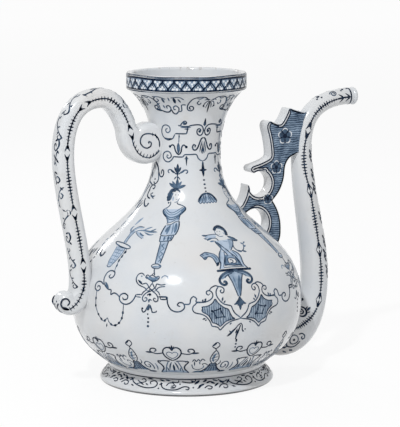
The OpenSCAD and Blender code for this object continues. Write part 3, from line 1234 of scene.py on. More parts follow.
@dataclass
class PiercedBridge:
    """Pierced ornamental bridge between the shoulder and the spout.

    Its edges are noted from the middle of its open C: two places, the bow between them and its parts.
    """

    POT_EDGE = (
        ((45, 59.2), (28.5, 64), 0.6, 6), ((28.5, 64), (20.5, 50), 0.8, 8), ((20.5, 50), (10, 54), 1.0, 7),
        ((10, 54), (6.4, 47), -1.5, 7), ((6.4, 47), (11, 22), 1.0, 10), ((11, 22), (-8.5, 15.8), 0.8, 8),
        ((-8.5, 15.8), (-6.5, 9.3), -2.0, 7), ((-6.5, 9.3), (6, 11.5), 0.0, 4), ((6, 11.5), (5, -4), 0.0, 4),
        ((5, -4), (-5, -7), 0.0, 3), ((-5, -7), (-9.6, -3.8), 0.0, 3), ((-9.6, -3.8), (-11.6, 1.4), 0.0, 5),
        ((-11.6, 1.4), (-19, -18.5), 2.0, 9),
    )
    SPOUT_EDGE = (
        ((15.5, -55.8), (20.9, -42), -1.6, 8), ((20.9, -42), (12.5, -15), -2.6, 12),
        ((12.5, -15), (24.5, 10), -3.0, 10), ((24.5, 10), (32, 22.5), 2.0, 7),
    )
    palette: Palette
    spout: SwanSpout
    thick: float = 12.5
    cut_mid: Pair = (67.5, 162.0)
    cut_r: float = 11.0
    arch_at: Pair = (-4.6, -34.0)
    arch_r: float = 13.2
    peg_l: float = 60.0
    bevel: float = 0.6
    face: list[Pair] = field(default_factory=list)

    def spot(self, x: float, z: float) -> Vector:
        """Place on the bridge, measured from the middle of its open C."""
        return Vector((self.cut_mid[0] + x, self.cut_mid[1] + z))

    def edge(self, bows: Sequence[tuple[Pair, Pair, float, int]]) -> list[Vector]:
        """Edge of several stretches that bow sideways, without its last point.

        Args:
            bows: Start, end, bow and parts of each stretch.

        Returns:
            Points of the edge, in millimetres.
        """
        made = []
        for start, end, rise, steps in bows:
            p, q = self.spot(*start), self.spot(*end)
            d = q - p
            side = Vector((-d.y, d.x)).normalized()
            made += [p + t * d + 4 * t * (1 - t) * rise * side for t in (i / steps for i in range(steps))]
        return made

    @staticmethod
    def soft(edge: list[Vector], passes: int = 4) -> list[Vector]:
        """Same edge with even points and rounded corners.

        Args:
            edge: Points of the edge.
            passes: How often its corners are rounded.

        Returns:
            Points about a millimetre apart.
        """
        fine: list[Vector] = []
        for p, q in zip(edge, edge[1:]):
            steps = max(1, round((q - p).length / 1.1))
            fine += [p.lerp(q, k / steps) for k in range(steps)]
        fine.append(edge[-1])
        for _ in range(passes):
            fine[1:-1] = [(a + 2 * b + c) / 4 for a, b, c in zip(fine, fine[1:], fine[2:])]
        return fine

    def spout_side(self) -> list[Vector]:
        """Edge inside the spout's wall, from its waist up under the curl.

        Returns:
            Points of the edge, in millimetres.
        """
        s, made = self.spout, []
        stations = [(s.rise, s.rise_size, 0.985, 0.0)]
        stations += [(s.curl, s.curl_size, t, min(t / 0.3, 1.0)) for t in (0.02, 0.12, 0.22, 0.32)]
        for curve, size, t, share in stations:
            p, d, r = curve.at(t), curve.heading(t), size(t)[0]
            back = max(math.sqrt(r * r - (self.thick / 2 + 0.2) ** 2), 0.9 * r * share)
            made.append(Vector((p.x - d.y * back, p.y + d.x * back)))
        return made

    def outline(self) -> list[Vector]:
        """Whole outline, with its hidden edges just under the skins that carry it."""
        left, right = self.soft(self.edge(self.POT_EDGE)), self.edge(self.SPOUT_EDGE)
        return left + self.pot_side() + right + self.spout_side()

    @staticmethod
    def pot_side() -> list[Vector]:
        """Edge inside the pot's wall."""
        return [Vector((POT.radius(z) - 3.0, z)) for z in range(142, 106, -5)]

    def buried(self, p: Pair) -> bool:
        """Whether a place on the edge lies inside the pot or the spout.

        Args:
            p: Place in the plate's plane.

        Returns:
            True where a wall hides the edge.
        """
        for line in (self.pot_side(), [*self.spout_side(), self.spot(*self.POT_EDGE[0][0])]):
            for a, b in zip(line, line[1:]):
                near, share = intersect_point_line(p, a, b)
                if -0.02 < share < 1.02 and (near.xy - Vector(p)).length < 0.3:
                    return True
        return False

    def build(self) -> None:
        """Extrude the plate, pierce it and round its edges."""
        line = self.outline()
        piece = Bench.begin("bridge_bracket_skin", len(line))
        mesh = bmesh.from_edit_mesh(piece.data)
        for v, p in zip(mesh.verts, line):
            v.co = Vector((p.x, -self.thick / 2, p.y)) * MM
        bmesh.update_edit_mesh(piece.data)
        bpy.ops.mesh.edge_face_add()
        bpy.ops.mesh.extrude_region_move(TRANSFORM_OT_translate={"value": (0, self.thick * MM, 0)})
        Bench.close(piece)
        holes = ((self.cut_r, self.cut_mid), (self.arch_r, self.spot(*self.arch_at)))
        turn = (math.pi / 2, 0, 0)
        Bench.cut(piece, [Bench.peg(r, self.peg_l, Vector((p[0], 0.0, p[1])), turn) for r, p in holes])
        self.face = self.face_loop(piece)
        self.round_edges(piece)
        Maker.keep(piece, Finish.COBALT, self.palette.glaze, "bridge_bracket")

    @staticmethod
    def face_loop(piece: Object) -> list[Pair]:
        """Longest edge loop of the plate's front face, in millimetres.

        Args:
            piece: The pierced plate, before its edges are rounded.

        Returns:
            X and Z of each point, in order.
        """
        mesh = bmesh.new()
        mesh.from_mesh(piece.data)
        after: dict[int, int] = {}
        for f in mesh.faces:
            if f.normal.y > -0.99:
                continue
            for loop in f.loops:
                mate = loop.link_loop_radial_next.face
                if mate.normal.y > -0.99:
                    after[loop.vert.index] = loop.link_loop_next.vert.index
        spots = {v.index: (v.co.x / MM, v.co.z / MM) for v in mesh.verts}
        mesh.free()
        loops = []
        while after:
            first, here = after.popitem()
            loop = [first]
            while here in after:
                loop.append(here)
                here = after.pop(here)
            loops.append([spots[i] for i in loop])
        return max(loops, key=len)

    def round_edges(self, piece: Object) -> None:
        """Round the plate's long edges.

        Args:
            piece: The pierced plate.
        """
        Bench.take(piece)
        soft = piece.modifiers.new("soft", "BEVEL")
        soft.width = self.bevel * MM
        soft.segments = 3
        soft.limit_method = "ANGLE"
        soft.angle_limit = math.radians(60)
        bpy.ops.object.modifier_apply(modifier=soft.name)
        bpy.ops.object.shade_smooth_by_angle(angle=math.radians(35))


class Brush(Enum):
    """How a stroke's width runs from its start to its end."""

    LINE = "even, with rounded ends"
    LEAF = "full in the middle"
    TAIL = "full at the start"

    def share(self, t: float) -> float:
        """Share of the full width at a share of the stroke.

        Args:
            t: Share of the stroke, from 0 to 1.

        Returns:
            The share of the width.
        """
        if self is Brush.LEAF:
            return max(0.14, math.sin(math.pi * min(max(t, 0.0), 1.0)) ** 0.8)
        if self is Brush.TAIL:
            return max(0.14, min(1.0, math.sqrt(t * 9.0)) * (1.0 - t) ** 0.75)
        return max(0.4, min(1.0, math.sqrt(min(t, 1.0 - t) * 26.0)))


class Chart:
    """A painted surface, on which places are given by two numbers."""

    def place(self, u: float, v: float, lift: float) -> Vector:
        """Point in millimetres, a little off the surface."""
        raise NotImplementedError

    def metric(self, u: float, v: float) -> Pair:
        """Millimetres per unit of each number."""
        return (1.0, 1.0)


class BodyChart(Chart):
    """The thrown body: degrees from the front towards the spout, and length up the outline."""

    START = 3.06

    def __init__(self) -> None:
        """Measure the outline."""
        self.line = SKIN
        self.run = [self.START]
        for p, q in zip(SKIN, SKIN[1:]):
            self.run.append(self.run[-1] + math.dist(p, q))

    def find(self, v: float) -> tuple[int, float]:
        """Stretch of the outline that holds a length, and the share of it.

        Args:
            v: Length up the outline.

        Returns:
            Number of the stretch, and the share of it.
        """
        v = min(max(v, self.run[0]), self.run[-1])
        i = min(max(bisect.bisect_right(self.run, v) - 1, 0), len(self.run) - 2)
        return i, (v - self.run[i]) / (self.run[i + 1] - self.run[i])

    def radius(self, v: float) -> float:
        """Radius at a length."""
        i, t = self.find(v)
        return mix(self.line[i][0], self.line[i + 1][0], t)

    def place(self, u: float, v: float, lift: float) -> Vector:
        """Point on the body.

        Args:
            u: Degrees from the front.
            v: Length up the outline.
            lift: Distance off the surface, in millimetres.

        Returns:
            The point, in millimetres.
        """
        i, t = self.find(v)
        (r0, z0), (r1, z1) = self.line[i], self.line[i + 1]
        run = math.dist((r0, z0), (r1, z1))
        r = mix(r0, r1, t) + lift * (z1 - z0) / run
        z = mix(z0, z1, t) - lift * (r1 - r0) / run
        a = math.radians(u)
        return Vector((r * math.sin(a), -r * math.cos(a), z))

    def metric(self, u: float, v: float) -> Pair:
        """Millimetres per degree and per length."""
        return (math.radians(self.radius(v)), 1.0)


@dataclass
class FaceChart(Chart):
    """A flat side in the plane of handle and spout: X and Z."""

    half: float
    side: int

    def place(self, u: float, v: float, lift: float) -> Vector:
        """Point on the flat side."""
        return Vector((u, self.side * (self.half + lift), v))


class PathChart(Chart):
    """A strap or tube along centre lines: length along it, and a place across it."""

    def __init__(self, curves: Sequence[Bezier], sizes: Sequence[Callable[[float], float | Vector]]) -> None:
        """Measure the centre lines.

        Args:
            curves: Centre lines in order.
            sizes: Half size of the section along each curve, or both half sizes.
        """
        self.spots: list[tuple[float, Vector, Vector, float | Vector]] = []
        length, last = 0.0, None
        for curve, size in zip(curves, sizes):
            for i in range(81):
                p = curve.at(i / 80)
                length += (p - last).length if last else 0.0
                last = p
                self.spots.append((length, p, curve.heading(i / 80), size(i / 80)))
        self.runs = [s[0] for s in self.spots]

    def along(self, u: float) -> tuple[Vector, Vector, float | Vector]:
        """Centre, direction and half size at a length.

        Args:
            u: Length along the path.

        Returns:
            The centre, the direction and the half size or sizes.
        """
        i = min(max(bisect.bisect_right(self.runs, u) - 1, 0), len(self.spots) - 2)
        a, b = self.spots[i], self.spots[i + 1]
        t = (u - a[0]) / max(b[0] - a[0], 1e-6)
        return a[1].lerp(b[1], t), a[2].lerp(b[2], t).normalized(), mix(a[3], b[3], t)

    def flat(self, u: float, across: float) -> Pair:
        """Place in the plane of the path."""
        p, d, _ = self.along(u)
        return (p.x - d.y * across, p.y + d.x * across)


@dataclass
class BackChart(Chart):
    """Outer face of the handle's strap: length along it, and breadth."""

    path: PathChart
    handle: ScrollHandle

    def place(self, u: float, v: float, lift: float) -> Vector:
        """Point on the strap's outer face, which is rounded at its edges.

        Args:
            u: Length along the strap.
            v: Breadth.
            lift: Distance off the surface, in millimetres.

        Returns:
            The point, in millimetres.
        """
        p, d, half = self.path.along(u)
        n = self.handle.inset(v) - half - lift
        return Vector((p.x - d.y * n, v, p.y + d.x * n))


@dataclass
class TubeChart(Chart):
    """The spout: length along it, and degrees from the front towards its outer side."""

    path: PathChart

    def place(self, u: float, v: float, lift: float) -> Vector:
        """Point on the tube.

        Args:
            u: Length along the spout.
            v: Degrees round it.
            lift: Distance off the surface, in millimetres.

        Returns:
            The point, in millimetres.
        """
        p, d, half = self.path.along(u)
        a = math.radians(v)
        n = -(half[0] + lift) * math.sin(a)
        return Vector((p.x - d.y * n, -(half[1] + lift) * math.cos(a), p.y + d.x * n))

    def metric(self, u: float, v: float) -> Pair:
        """Millimetres per length and per degree."""
        return (1.0, math.radians(sum(self.path.along(u)[2]) / 2))


@dataclass
class CurlChart(Chart):
    """Rim of one of the handle's curls: degrees round its eye, and breadth."""

    curl: Curl
    width: float

    def place(self, u: float, v: float, lift: float) -> Vector:
        """Point on the rim.

        Args:
            u: Degrees round the eye.
            v: Breadth.
            lift: Distance off the surface, in millimetres.

        Returns:
            The point, in millimetres.
        """
        x, z = self.curl.eye
        want = math.radians(u) % math.tau

        def off(p: Pair) -> float:
            """How far the angle of a point lies from the wanted one."""
            return abs((math.atan2(p[1] - z, p[0] - x) - want + math.pi) % math.tau - math.pi)

        r = math.dist(min(self.curl.outline(self.width)[:-1], key=off), self.curl.eye) + lift
        return Vector((x + r * math.cos(want), v, z + r * math.sin(want)))

    def metric(self, u: float, v: float) -> Pair:
        """Millimetres per degree and per breadth."""
        return (math.radians(self.curl.radii[0]), 1.0)


Copy = tuple[float, float]
ONCE: tuple[Copy, ...] = ((1, 0),)
TURNS: tuple[Copy, ...] = ((1, 0), (1, 180))
HALVES: tuple[Copy, ...] = ((1, 0), (-1, 0), (1, 180), (-1, 180))
LEAN: tuple[Copy, ...] = ((1, 0), (-1, -2.6), (1, 180), (-1, 177.4))
AXIS: tuple[Copy, ...] = ((1, -1.3), (-1, -1.3), (1, 178.7), (-1, 178.7))
QUARTERS: tuple[Copy, ...] = tuple((s, 90 * k) for k in range(4) for s in (1, -1))
Width = float | Sequence[float]


def places(steps: str) -> list[Pair]:
    """Read a path noted in tenths: its first place, then the step to each next one.

    Args:
        steps: Pairs of whole numbers, parted by blanks.

    Returns:
        The places, in the units of their chart.
    """
    x = y = 0
    path: list[Pair] = []
    for step in steps.split():
        dx, dy = map(int, step.split(","))
        x, y = x + dx, y + dy
        path.append((x / 10, y / 10))
    return path


class Brushwork:
    """Brush strokes laid on one surface, gathered into one mesh of thin closed strips."""

    SINK = -0.2
    FINE = 1.7
    WEIGHT = 0.87

    def __init__(self, name: str, chart: Chart, copies: Sequence[Copy] = ONCE) -> None:
        """Start with a clean brush.

        Args:
            name: Name of the piece.
            chart: Surface to paint.
            copies: Mirror sign and shift of the first number, for each repeat of a stroke.
        """
        self.name = name
        self.chart = chart
        self.copies = copies
        self.points: list[Vector] = []
        self.faces: list[tuple[int, ...]] = []
        self.tones: list[float] = []

    def shift(self, at: Pair, x: float, y: float) -> Pair:
        """Place that lies some millimetres from another."""
        mu, mv = self.chart.metric(*at)
        return (at[0] + x / mu, at[1] + y / mv)

    def smooth(self, path: Path, closed: bool) -> list[Pair]:
        """Even points on a soft curve through a path.

        Args:
            path: Places that the stroke passes.
            closed: The stroke runs back to its start.

        Returns:
            Places about a millimetre or less apart.
        """
        n = len(path)
        made: list[Pair] = []
        for i in range(n if closed else n - 1):
            if closed:
                ps = [path[(i + k) % n] for k in (-1, 0, 1, 2)]
            else:
                ps = [path[max(i - 1, 0)], path[i], path[i + 1], path[min(i + 2, n - 1)]]
            mu, mv = self.chart.metric(*ps[1])
            gap = math.hypot((ps[2][0] - ps[1][0]) * mu, (ps[2][1] - ps[1][1]) * mv)
            steps = max(2, round(gap / (0.75 if n > 2 else 1.6)))
            for k in range(steps):
                t = k / steps
                made.append(tuple(
                    0.5 * (2 * b + (c - a) * t + (2 * a - 5 * b + 4 * c - d) * t * t
                           + (3 * b - a - 3 * c + d) * t ** 3)
                    for a, b, c, d in zip(*ps)
                ))
        return made if closed else made + [tuple(path[-1])]

    def stroke(
        self, path: Path, width: Width, tone: float = 0.9, brush: Brush = Brush.LINE, closed: bool = False
    ) -> None:
        """Lay one stroke, with all its repeats.

        Args:
            path: Places that the stroke passes.
            width: Full width in millimetres, or widths from start to end.
            tone: 0 for the thinnest wash, 1 for the darkest line.
            brush: How the width runs.
            closed: The stroke runs back to its start.
        """
        line = self.smooth(path, closed)
        for sign, turn in self.copies:
            self.lay([(sign * u + turn, v) for u, v in line], width, tone, brush, closed)

    def lay(self, line: Path, width: Width, tone: float, brush: Brush, closed: bool) -> None:
        """Build the strip of one stroke.

        Args:
            line: Even places along the stroke.
            width: Full width in millimetres, or widths from start to end.
            tone: Darkness of the stroke.
            brush: How the width runs.
            closed: The strip joins its own start.
        """
        n, lift = len(line), self.lift(tone)
        plain = isinstance(width, (int, float))
        if plain and brush is Brush.LINE and width < self.FINE:
            width *= self.WEIGHT
        widest = width if plain else max(width)
        parts = 1 if widest < 3.0 else 4 if widest < 8.0 else 10
        ribs = []
        for i, (u, v) in enumerate(line):
            t = i / (n - 1)
            mu, mv = self.chart.metric(u, v)
            before = line[(i - 1) % n] if closed or i else line[0]
            after = line[(i + 1) % n] if closed or i < n - 1 else line[-1]
            x, y = (after[0] - before[0]) * mu, (after[1] - before[1]) * mv
            long = math.hypot(x, y) or 1.0
            if plain:
                half = width / 2 * (1.0 if closed else brush.share(t))
            else:
                k = min(int(t * (len(width) - 1)), len(width) - 2)
                half = mix(width[k], width[k + 1], t * (len(width) - 1) - k) / 2
            offsets = [half * (1 - 2 * k / parts) for k in range(parts + 1)]
            top = [(u - y / long * o / mu, v + x / long * o / mv) for o in offsets]
            ribs.append(self.rib(top, lift, tone))
        self.skin(ribs, closed)

    @staticmethod
    def lift(tone: float) -> float:
        """Height off the surface: dark strokes lie over pale washes, white dabs over all."""
        return 0.2 if tone < 0.0 else 0.05 + 0.1 * tone

    def put(self, u: float, v: float, lift: float, tone: float) -> int:
        """Add one point and give back its number.

        Args:
            u: First number of the place.
            v: Second number of the place.
            lift: Height off the surface.
            tone: Darkness there.

        Returns:
            Number of the point.
        """
        self.points.append(self.chart.place(u, v, lift) * MM)
        self.tones.append(tone)
        return len(self.points) - 1

    def rib(self, top: Path, lift: float, tone: float) -> list[int]:
        """Section across a strip: its top, and both ends sunk under the surface."""
        made = [self.put(*p, lift, tone) for p in top]
        return made + [self.put(*top[-1], self.SINK, tone), self.put(*top[0], self.SINK, tone)]

    def skin(self, ribs: list[list[int]], closed: bool) -> None:
        """Join sections into a strip, with two ends or back to its start.

        Args:
            ribs: Sections in order.
            closed: The last section joins the first.
        """
        for a, b in zip(ribs, ribs[1:] + ([ribs[0]] if closed else [])):
            for k in range(len(a)):
                j = (k + 1) % len(a)
                self.faces.append((a[k], a[j], b[j], b[k]))
        if not closed:
            self.faces += [tuple(reversed(ribs[0])), tuple(ribs[-1])]

    def slab(self, loop: Path, lift: float, tone: float, hub: Pair | None = None) -> None:
        """Close an outline into a thin slab.

        Args:
            loop: Places round the slab.
            lift: Height of its top.
            tone: Darkness of the slab.
            hub: Place from which the top fans out, if it isn't one flat face.
        """
        top, low = [[self.put(*p, height, tone) for p in loop] for height in (lift, self.SINK)]
        if hub:
            middle = self.put(*hub, lift, tone)
            self.faces += [(middle, a, b) for a, b in zip(top, [*top[1:], top[0]])]
        else:
            self.faces.append(tuple(top))
        self.faces.append(tuple(reversed(low)))
        self.faces += [(top[k - 1], low[k - 1], low[k], top[k]) for k in range(len(loop))]

    def dot(self, at: Pair, radius: float, tone: float = 0.9, tall: float = 1.0) -> None:
        """Lay one round dab.

        Args:
            at: Middle of the dab.
            radius: Half width in millimetres.
            tone: Darkness of the dab.
            tall: Height over width.
        """
        count = 10 if radius < 2.0 else 20
        mu, mv = self.chart.metric(*at)
        rim = [polar((0.0, 0.0), radius, 360 * k / count) for k in range(count)]
        for sign, shift in self.copies:
            loop = [(sign * (at[0] + x / mu) + shift, at[1] + tall * y / mv) for x, y in rim]
            self.slab(loop, self.lift(tone), tone, (sign * at[0] + shift, at[1]))

    def wash(self, left: Path, right: Path, tone: float) -> None:
        """Fill the space between two edges that run the same way.

        Args:
            left: One edge.
            right: The other edge.
            tone: Darkness of the wash.
        """
        count, parts = 30, 12
        edges = []
        for path in (left, right):
            fine = self.smooth(path, False)
            edges.append([fine[round(i * (len(fine) - 1) / count)] for i in range(count + 1)])
        for sign, turn in self.copies:
            ribs = []
            for a, b in zip(*edges):
                top = [part_way(a, b, k / parts) for k in range(parts + 1)]
                ribs.append(self.rib([(sign * u + turn, v) for u, v in top], self.lift(tone), tone))
            self.skin(ribs, False)

    def ring(self, v: float, width: float, tone: float, loose: float = 1.0) -> None:
        """Lay a line right round a turned body, with the sway of a hand.

        Args:
            v: Length up the outline.
            width: Width in millimetres.
            tone: Darkness of the line.
            loose: How much it sways, where 1 is a calm hand.
        """
        path = []
        for a in range(121):
            sway = 0.13 * math.sin(math.radians(9 * a)) + 0.09 * math.sin(math.radians(21 * a + v))
            path.append((a * 3.0, v + loose * sway))
        self.lay(self.smooth(path, False), [width, width], tone, Brush.LINE, False)

    def spiral(
        self, eye: Pair, start: float, end: float, turns: float, angle: float, sense: int = 1
    ) -> list[Pair]:
        """Path of a curl that winds inwards.

        Args:
            eye: Middle of the curl.
            start: Radius at the outer end, in millimetres.
            end: Radius at the inner end.
            turns: Number of turns.
            angle: Degrees at which the outer end lies.
            sense: 1 for anticlockwise, -1 for clockwise.

        Returns:
            Places from the outer to the inner end.
        """
        count = max(8, round(turns * 12))
        made = []
        for i in range(count + 1):
            t = i / count
            away = polar((0.0, 0.0), mix(start, end, t), angle + sense * 360 * turns * t)
            made.append(self.shift(eye, *away))
        return made

    def sketch(
        self, notes: str, place: Callable[[Path], Path] = list, copies: Sequence[Copy] | None = None
    ) -> None:
        """Lay strokes noted one to a line, as a path; width or widths, tone and kind.

        A single place is a round dab with its half width, and its height over its width if that isn't 1.
        Two paths parted by | are the edges of a wash.

        Args:
            notes: The lines, with the kind line, leaf, tail or loop, and line where none is given.
            place: Turns noted places into places on the chart.
            copies: Repeats, if not those of the whole brushwork.
        """
        kept, self.copies = self.copies, copies or self.copies
        for row in notes.strip().splitlines():
            where, style = row.split(";")
            paths = [place(places(path)) for path in where.split("|")]
            size, tone, kind = (*style.split(), "line")[:3]
            widths = [float(w) for w in size.split(",")]
            if len(paths) == 2:
                self.wash(*paths, float(tone))
            elif len(paths[0]) == 1:
                self.dot(paths[0][0], widths[0], float(tone), *widths[1:])
            else:
                brush = Brush.__members__.get(kind.upper(), Brush.LINE)
                width = widths if len(widths) > 1 else widths[0]
                self.stroke(paths[0], width, float(tone), brush, kind == "loop")
        self.copies = kept

    def finish(self, material: Material, finish: Finish = Finish.COBALT) -> Object:
        """Turn the strokes into a piece.

        Args:
            material: Material of the strokes.
            finish: Slot of the record, handed to Maker.keep, which does not use it.

        Returns:
            The finished piece.
        """
        mesh = bpy.data.meshes.new(self.name)
        mesh.from_pydata(self.points, [], self.faces)
        tone = mesh.attributes.new("tone", "FLOAT", "POINT")
        tone.data.foreach_set("value", self.tones)
        piece = bpy.data.objects.new(self.name, mesh)
        bpy.context.scene.collection.objects.link(piece)
        Bench.take(piece)
        bpy.ops.object.mode_set(mode="EDIT")
        bpy.ops.mesh.select_all(action="SELECT")
        bpy.ops.mesh.normals_make_consistent(inside=False)
        bpy.ops.object.mode_set(mode="OBJECT")
        bpy.ops.object.shade_smooth_by_angle(angle=Bench.SMOOTH)
        return Maker.keep(piece, finish, material)


BODY = BodyChart()


@dataclass
class CollarLattice:
    """Blue lattice round the mouth with white dabs in its meshes.

    A border is noted as length, width, tone and sway, and a dab as two distances and its half width.
    """

    BORDERS = (
        (302.5, 1.6, 0.2, 2), (303.4, 1.45, 1.0, 3), (301.5, 1.6, 1.0, 2.4), (292.4, 1.35, 1.0, 1),
        (290.8, 0.8, 0.9, 1),
    )
    UPPER_DABS = ((0, 2.9, 0.85), (-1.8, 1.4, 1.0), (1.8, 1.4, 1.0), (0, 1.3, 0.6))
    LOWER_DABS = ((-1.9, 1.5, 1.0), (1.9, 1.5, 1.0), (0, 2.9, 1.0), (0, 4.5, 0.75))
    palette: Palette
    meshes: int = 32
    low: float = 292.9
    high: float = 300.8

    def corner(self, k: int) -> Pair:
        """Corner of the zigzag, which stands a little off its even place.

        Args:
            k: Number of the corner.

        Returns:
            Its degrees, and its length up the outline.
        """
        i = k % (2 * self.meshes)
        sway = 0.75 * math.sin(2.3 * i) + 0.6 * math.sin(5.1 * i + 1.0)
        return (180.0 * k / self.meshes + sway, self.high + 0.2 if k % 2 else self.low - 0.4)

    def build(self) -> None:
        """Lay the ground, the zigzag, its borders and the dabs."""
        blue, white = Brushwork("collar_brushwork", BODY), Brushwork("collar_white_dabs", BODY)
        blue.ring((self.low + self.high) / 2, self.high - self.low + 1.0, 0.38)
        for v, width, tone, loose in self.BORDERS:
            blue.ring(v, width, tone, loose)
        for k in range(2 * self.meshes):
            before, here, after = (self.corner(k + i) for i in (-1, 0, 1))
            up = 1 if k % 2 == 0 else -1
            blue.stroke([blue.shift(here, -1.2, 0), blue.shift(after, 1.2, 0)], (1.6, 1.25)[k % 2], 1.0)
            near, far = (here, after) if up > 0 else (after, here)
            far = part_way(near, far, 0.8)
            blue.stroke([blue.shift(near, up * 1.9, 0.3), blue.shift(far, up * 1.9, 0)], 0.75, 0.95)
            base = ((before[0] + after[0]) / 2, before[1])
            for j, (x, y, r) in enumerate(self.LOWER_DABS if up > 0 else self.UPPER_DABS):
                spot = white.shift(base, x + 0.3 * math.sin(3.1 * k + j), -up * y)
                white.dot(spot, r * (1.0 + 0.16 * math.sin(4.7 * k + 2 * j)), -1.0)
        blue.finish(self.palette.brush)
        white.finish(self.palette.dab, Finish.GLAZE)


NECK_HOOK = "-30,2805 -40,35 -70,6 -60,-18 -40,-38 -26,-40"
NECK_PALMETTE = """
-134,2806 -20,-30 28,-16 20,20; 1.1 .8
0,2796 0,-116; 1.3 .95 leaf
-5,2794 -19,-30 -14,-40; .95 .88 leaf
-6,2798 -38,-10 -26,-36 14,-20; .95 .88
-70,2746; .85 .95
-4,2808 -36,10 -36,-10; 1.2 .85 leaf
-90,2842 -36,-18 -40,6; 1.2 .75 leaf
"""
NECK_KNOT = """
-690,2706 70,-8 70,-14 50,6 24,28 -20,30 -34,-8 6,-22; 1.35 .9
-705,2709 105,-15; 2.2 .9 leaf
-470,2710 16,-30 38,-11 36,23; 1.3 .9
-380,2692 6,32 -32,24 -34,-14 4,-24 22,4; 1.2 .85
-380,2692 40,8 4,56 50,2; 1.1 .85
-420,2840 10,-66; 2.6 .95 leaf
-556,2830 12,-54; 2.1 .85 leaf
-480,2840 6,-44; 1.3 .8 leaf
-634,2840 -32,-26 26,-30 32,20 -18,16; 1.2 .8
-610,2770 -50,-20 14,-26; 1.2 .75
-516,2816 -70,28 -84,-2; 1.1 .75
-450,2836 90,10 50,-30; 1.1 .75
-374,2824 28,-40; 1.5 .8 leaf
-574,2754 18,-34; 1.6 .8 leaf
"""
NECK_STRAPS = """
-575,2533 -30,-3 -10,-20 30,-12 45,17 -5,35 -55,15 -60,-15 -35,-40 10,-40 45,-24 60,-6 70,8 35,27 15,15; \
1.1 .8
-660,2454 70,-13 80,9; 2 .85 leaf
-460,2490 20,3 80,0 74,1 12,10 8,20 12,28 44,13 110,5 60,-14 28,-36 -18,-34 -40,-9 -40,17 -3,30 33,11 \
28,-17 -22,-12; 1.25 .88
-585,2305 -30,5 -5,-20 40,-7 40,17 -20,30 -60,10 -70,-20 -10,-35 50,-28 70,-3 55,21 25,21 20,2 80,-1 60,2 \
32,17 88,2 92,1 24,-9 22,-24 42,-19 40,-5; 1.15 .82
-405,2566 85,-10 70,1; 1.2 .85
-370,2547 160,2; 1 .7
-315,2534 80,0; 1.2 .7 leaf
-370,2565 35,27 35,12 24,-16 -28,-16; 1.2 .85
-310,2582; 1.3 .8
-72,2512; 1.2 .9
-395,2490 -10,-75; .9 .7
-394,2488 -4,-38; 2.2 .85 tail
-555,2382 35,14 35,-8 20,-38 35,-27 30,-3 30,20 15,40 30,18 40,-14; 1.35 .9
-413,2415 0,-89; 2.8 .75 leaf
0,2456 -30,-6 -30,-34 -30,-40 -34,-20 -40,2 -16,22 18,20 30,-8 -12,-16; 1.45 .9
-16,2430 -24,-50 -16,-44; 1.1 .9 leaf
-4,2380 -16,-30 -6,-26; 1 .9 leaf
-316,2283 72,0; 1.4 .9 leaf
-280,2306 0,-80; 2.2 .95 tail
-560,2382; 1.15 .9
-282,2381; 1.15 .9
"""
NECK_MIDDLE = """
0,2556 0,68; 3.4 .9 tail
0,2410 0,-92; 1.2 .95 leaf
0,2260 0,-45; 1.8 .85 leaf
"""


@dataclass
class NeckOrnament:
    """Scrolls, straps and palmettes round the neck."""

    palette: Palette

    def build(self) -> None:
        """Paint the scroll border under the flare, and the strapwork with its hangings."""
        work = Brushwork("neck_brushwork", BODY, QUARTERS)
        work.stroke(places(NECK_HOOK) + work.spiral((-22.4, 272.6), 3.0, 0.8, 1.25, 195), 1.2, 0.88)
        work.sketch(NECK_PALMETTE)
        work.sketch(NECK_KNOT, copies=QUARTERS[::2])
        work.sketch(NECK_STRAPS, copies=HALVES)
        work.sketch(NECK_MIDDLE, copies=TURNS)
        work.finish(self.palette.brush)


